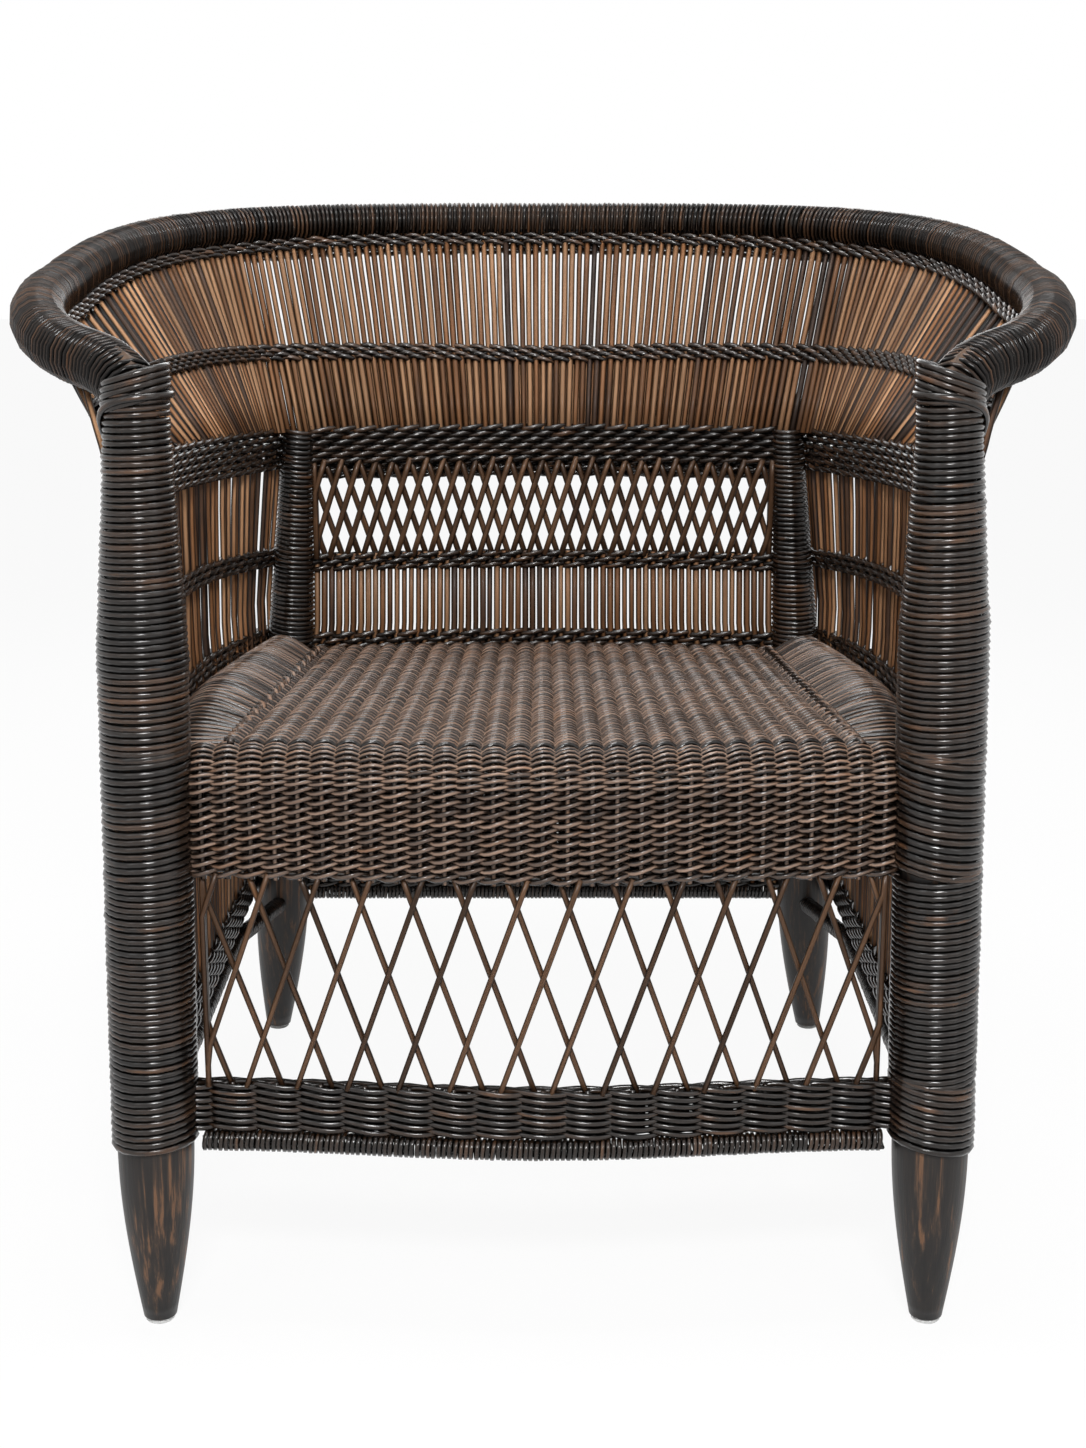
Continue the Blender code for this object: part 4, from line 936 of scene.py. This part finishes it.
mesh = startPiece()
rows = round((lowerBand["top"] - lowerBand["bottom"]) / lowerBand["row"])
for row in range(rows):
    along = (row + 0.5) * (lowerBand["top"] - lowerBand["bottom"]) / rows
    half = frontHalf(0.165, -0.0050)
    sheetRow(mesh, lowerSpot, half, lowerBand["stakePitch"], lowerBand["strand"], lowerBand["reach"], 0.0011, 8, along, 0.0012)
    sheetRow(mesh, lowerSpot, half, lowerBand["stakePitch"], (0.0012, 0.0023), 0.0012, 0.0011, 4, along, 0.0, 0.5, 0.0058)
sheetStakes(mesh, lowerSpot, 0.2255, lowerBand["stakePitch"], 0.0, lowerBand["top"] - lowerBand["bottom"], 4, 0.0019)
putPiece("lowerBand", mesh, "espresso", ["lower_front_band"])
print("bands and seat woven")

# split cane laid over the padded roll at each side of the seat

roll = {"strips": 50, "rings": 11, "crown": 0.018, "thick": 0.0016, "wide": 0.0037, "skew": 0.006, "front": 0.016, "rise": 0.45, "dip": 0.005}


def rollSpot(side, along, across, drop):
    # from the front edge, where it lies low beside the post, back to the rear post
    share = clamp(along, 0, 1)
    post = frontAxis(1, walls["seatFront"])
    rear = rearAxis(1, walls["seatRear"])
    depth = mix(post.y + roll["front"], rear.y - rearOuter(walls["seatRear"]) - 0.001, share)
    wallStart = post.y + frontOuter(walls["seatFront"])
    wall = sideWall(1, clamp((depth - wallStart) / (rear.y - wallStart), 0, 1), walls["seatFront"], walls["seatRear"])
    beside = math.sqrt(max(0.0, frontOuter(walls["seatFront"]) ** 2 - (depth - post.y) ** 2))
    outer = min(wall.x - 0.004, post.x - beside - 0.001) if beside else wall.x - 0.004
    back = (depth - post.y - seat["edgeRadius"]) / sheetFlat
    inner = mix(seat["halfFront"], seat["halfRear"], back) - 0.002
    rise = clamp(share / roll["rise"], 0, 1)
    lift = roll["crown"] * math.sin(math.pi * mix(0.06, 0.97, across) ** 1.45) ** 0.75 * math.sin(math.pi / 2 * rise)
    top = mix(seat["edgeTop"], seat["rearHeight"], back) - 0.001 - roll["dip"] * (1 - rise) * across
    return Vector((side * mix(inner, outer, across), depth, top + lift - drop))


for sideName, side in sideSigns.items():
    mesh = startPiece()
    # the lower layer lies 2.4 mm down in the darkest tones, painted shade showing between the strips above
    for layer in (0, 1):
        for index in range(roll["strips"]):
            along = (index + 0.5 + 0.5 * layer) / (roll["strips"] + 0.5)
            skew = mix(-1, 1, draw.random()) * roll["skew"]
            points = [rollSpot(side, along + skew * mix(-1, 1, step / (roll["rings"] - 1)), step / (roll["rings"] - 1), 0.0024 * layer)
                      for step in range(roll["rings"])]
            wide = roll["wide"] * mix(0.85, 1.05, draw.random())
            layCane(mesh, pathRings(points, upward), oval(roll["thick"], wide, 6), draw.random() * (0.1 if layer else 1))
    putPiece(f"seatRoll.{sideName}", mesh, "seat", [f"seat_roll_{sideName}"])
    # the roll is tied down along the seat's edge by two twisted strands
    mesh = startPiece()
    for turn in (0, 1):
        points = []
        for step in range(91):
            angle = math.pi * (step / 3 + turn)
            seam = rollSpot(side, step / 90, 0.0, 0.0)
            points.append(seam + Vector((0.0026 * math.cos(angle), 0, 0.0035 + 0.0022 * math.sin(angle))))
        layCane(mesh, pathRings(points, upward), oval(0.0021, 0.0027, 6), draw.random())
    putPiece(f"seatSeam.{sideName}", mesh, "seat")
print("rolls laid")

# crossing canes of the apron and of the back

apron = {"pitch": 0.0338, "row": 0.0476, "crossing": 0.2525, "bottom": 0.1715, "top": 0.3205, "radius": 0.0021, "layer": 0.0020}
backLattice = {"pitch": 0.0147, "row": 0.0225, "crossing": 0.4950, "bottom": 0.4545, "top": 0.5420, "radius": 0.0029, "layer": 0.0022}


def layLattice(mesh, look, half, spotAt, outward, rings):
    # canes of each direction lie on their own face; at the posts they run straight down
    slope = look["pitch"] / 2 / look["row"]
    reach = int(half / look["pitch"]) + 3
    for lean in (-1, 1):
        for index in range(-reach, reach + 1):
            points = []
            for step in range(rings):
                height = mix(look["bottom"], look["top"], step / (rings - 1))
                across = index * look["pitch"] + lean * slope * (height - look["crossing"])
                points.append(spotAt(across, height))
            if any(abs(point.x) < half for point in points):
                points = [Vector((clamp(point.x, -half, half), point.y, point.z)) for point in points]
                layCane(mesh, pathRings([point + outward * lean * look["layer"] for point in points], outward),
                        oval(look["radius"], look["radius"], 6), draw.random())


mesh = startPiece()
layLattice(mesh, apron, frontHalf(0.25, 0.0060), bandFront, Vector((0, -1, 0)), 11)
putPiece("apronLattice", mesh, "lattice", ["apron_lattice"])
mesh = startPiece()
layLattice(mesh, backLattice, backHalf(0.50, 0.0010), backWall, Vector((0, -1, 0)), 7)
putPiece("backLattice", mesh, "lattice", ["back_lattice"])
print("lattices crossed")

for name in ("rim_core", "seat_rail_front", "seat_rail_left", "seat_rail_rear", "seat_rail_right"):
    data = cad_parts[name].data
    data.materials.clear()
    data.materials.append(finishes["pole"])

# floor, lights and camera

stageLook = {"floorSize": 30.0, "floorGlow": 0.93, "world": 0.10, "keyPower": 5.0, "fillPower": 4.5,
              "frontPower": 54.0, "topPower": 24.0, "backPower": 14.0}


def whiteRays(finish):
    # the background is white where it is seen, straight, mirrored or through glass
    seen = [finish.node("ShaderNodeLightPath", {}, {}, f"Is {kind} Ray") for kind in ("Camera", "Glossy", "Transmission")]
    return finish.mask(seen[0] + seen[1] + seen[2], 0.0, 1.0)


floorFinish = Finish("paleFloor")
floorFinish.surface(Base_Color=(0.97, 0.97, 0.97, 1), Roughness=0.7)
glow = floorFinish.node("ShaderNodeEmission", {}, {"Color": (1, 1, 1, 1), "Strength": 1.0})
lit = Socket(floorFinish, floorFinish.shader.outputs[0])
blended = floorFinish.node("ShaderNodeMixShader", {}, {0: whiteRays(floorFinish) * stageLook["floorGlow"], 1: lit, 2: glow})
floorFinish.feed(floorFinish.nodes["Material Output"].inputs["Surface"], blended)
mesh = bmesh.new()
bmesh.ops.create_grid(mesh, x_segments=1, y_segments=1, size=stageLook["floorSize"])
floorData = bpy.data.meshes.new("paleFloor")
mesh.to_mesh(floorData)
mesh.free()
floorData.materials.append(floorFinish.material)
floor = bpy.data.objects.new("paleFloor", floorData)
bpy.context.scene.collection.objects.link(floor)

studio = Finish("studio", bpy.data.worlds.new("studio"))
bpy.context.scene.world = studio.material
dim, white = [studio.node("ShaderNodeBackground", {}, {"Color": (1, 1, 1, 1), "Strength": strength})
              for strength in (stageLook["world"], 1.0)]
choice = studio.node("ShaderNodeMixShader", {}, {0: whiteRays(studio), 1: dim, 2: white})
studio.feed(studio.nodes["World Output"].inputs["Surface"], choice)


def softbox(name, place, target, size, power):
    lamp = bpy.data.lights.new(name, "AREA")
    lamp.shape = "RECTANGLE"
    lamp.size, lamp.size_y = size
    lamp.energy = power
    holder = bpy.data.objects.new(name, lamp)
    holder.location = place
    holder.rotation_euler = (Vector(target) - Vector(place)).to_track_quat("-Z", "Y").to_euler()
    bpy.context.scene.collection.objects.link(holder)


softbox("topLight", (0.0, -0.20, 2.2), (0, 0, 0.4), (1.0, 0.5), stageLook["topPower"])
softbox("frontLight", (0.05, -2.2, 2.0), (0, -0.3, 0.4), (0.6, 0.30), stageLook["frontPower"])
softbox("keyLight", (-1.5, -1.7, 1.9), (0, 0, 0.4), (0.7, 1.4), stageLook["keyPower"])
softbox("fillLight", (1.7, -1.6, 1.6), (0, 0, 0.4), (0.7, 1.4), stageLook["fillPower"])
softbox("backLight", (0.0, 2.0, 1.5), (0, 0, 0.4), (2.0, 0.8), stageLook["backPower"])

cameraData = bpy.data.cameras.new("photoCamera")
cameraData.lens = 48.48
cameraData.sensor_width = 36
camera = bpy.data.objects.new("photoCamera", cameraData)
camera.location = (0, -1.5258, 0.70)
camera.rotation_euler = (math.radians(77), 0, 0)
bpy.context.scene.collection.objects.link(camera)
bpy.context.scene.camera = camera
bpy.context.scene.view_settings.view_transform = "Standard"
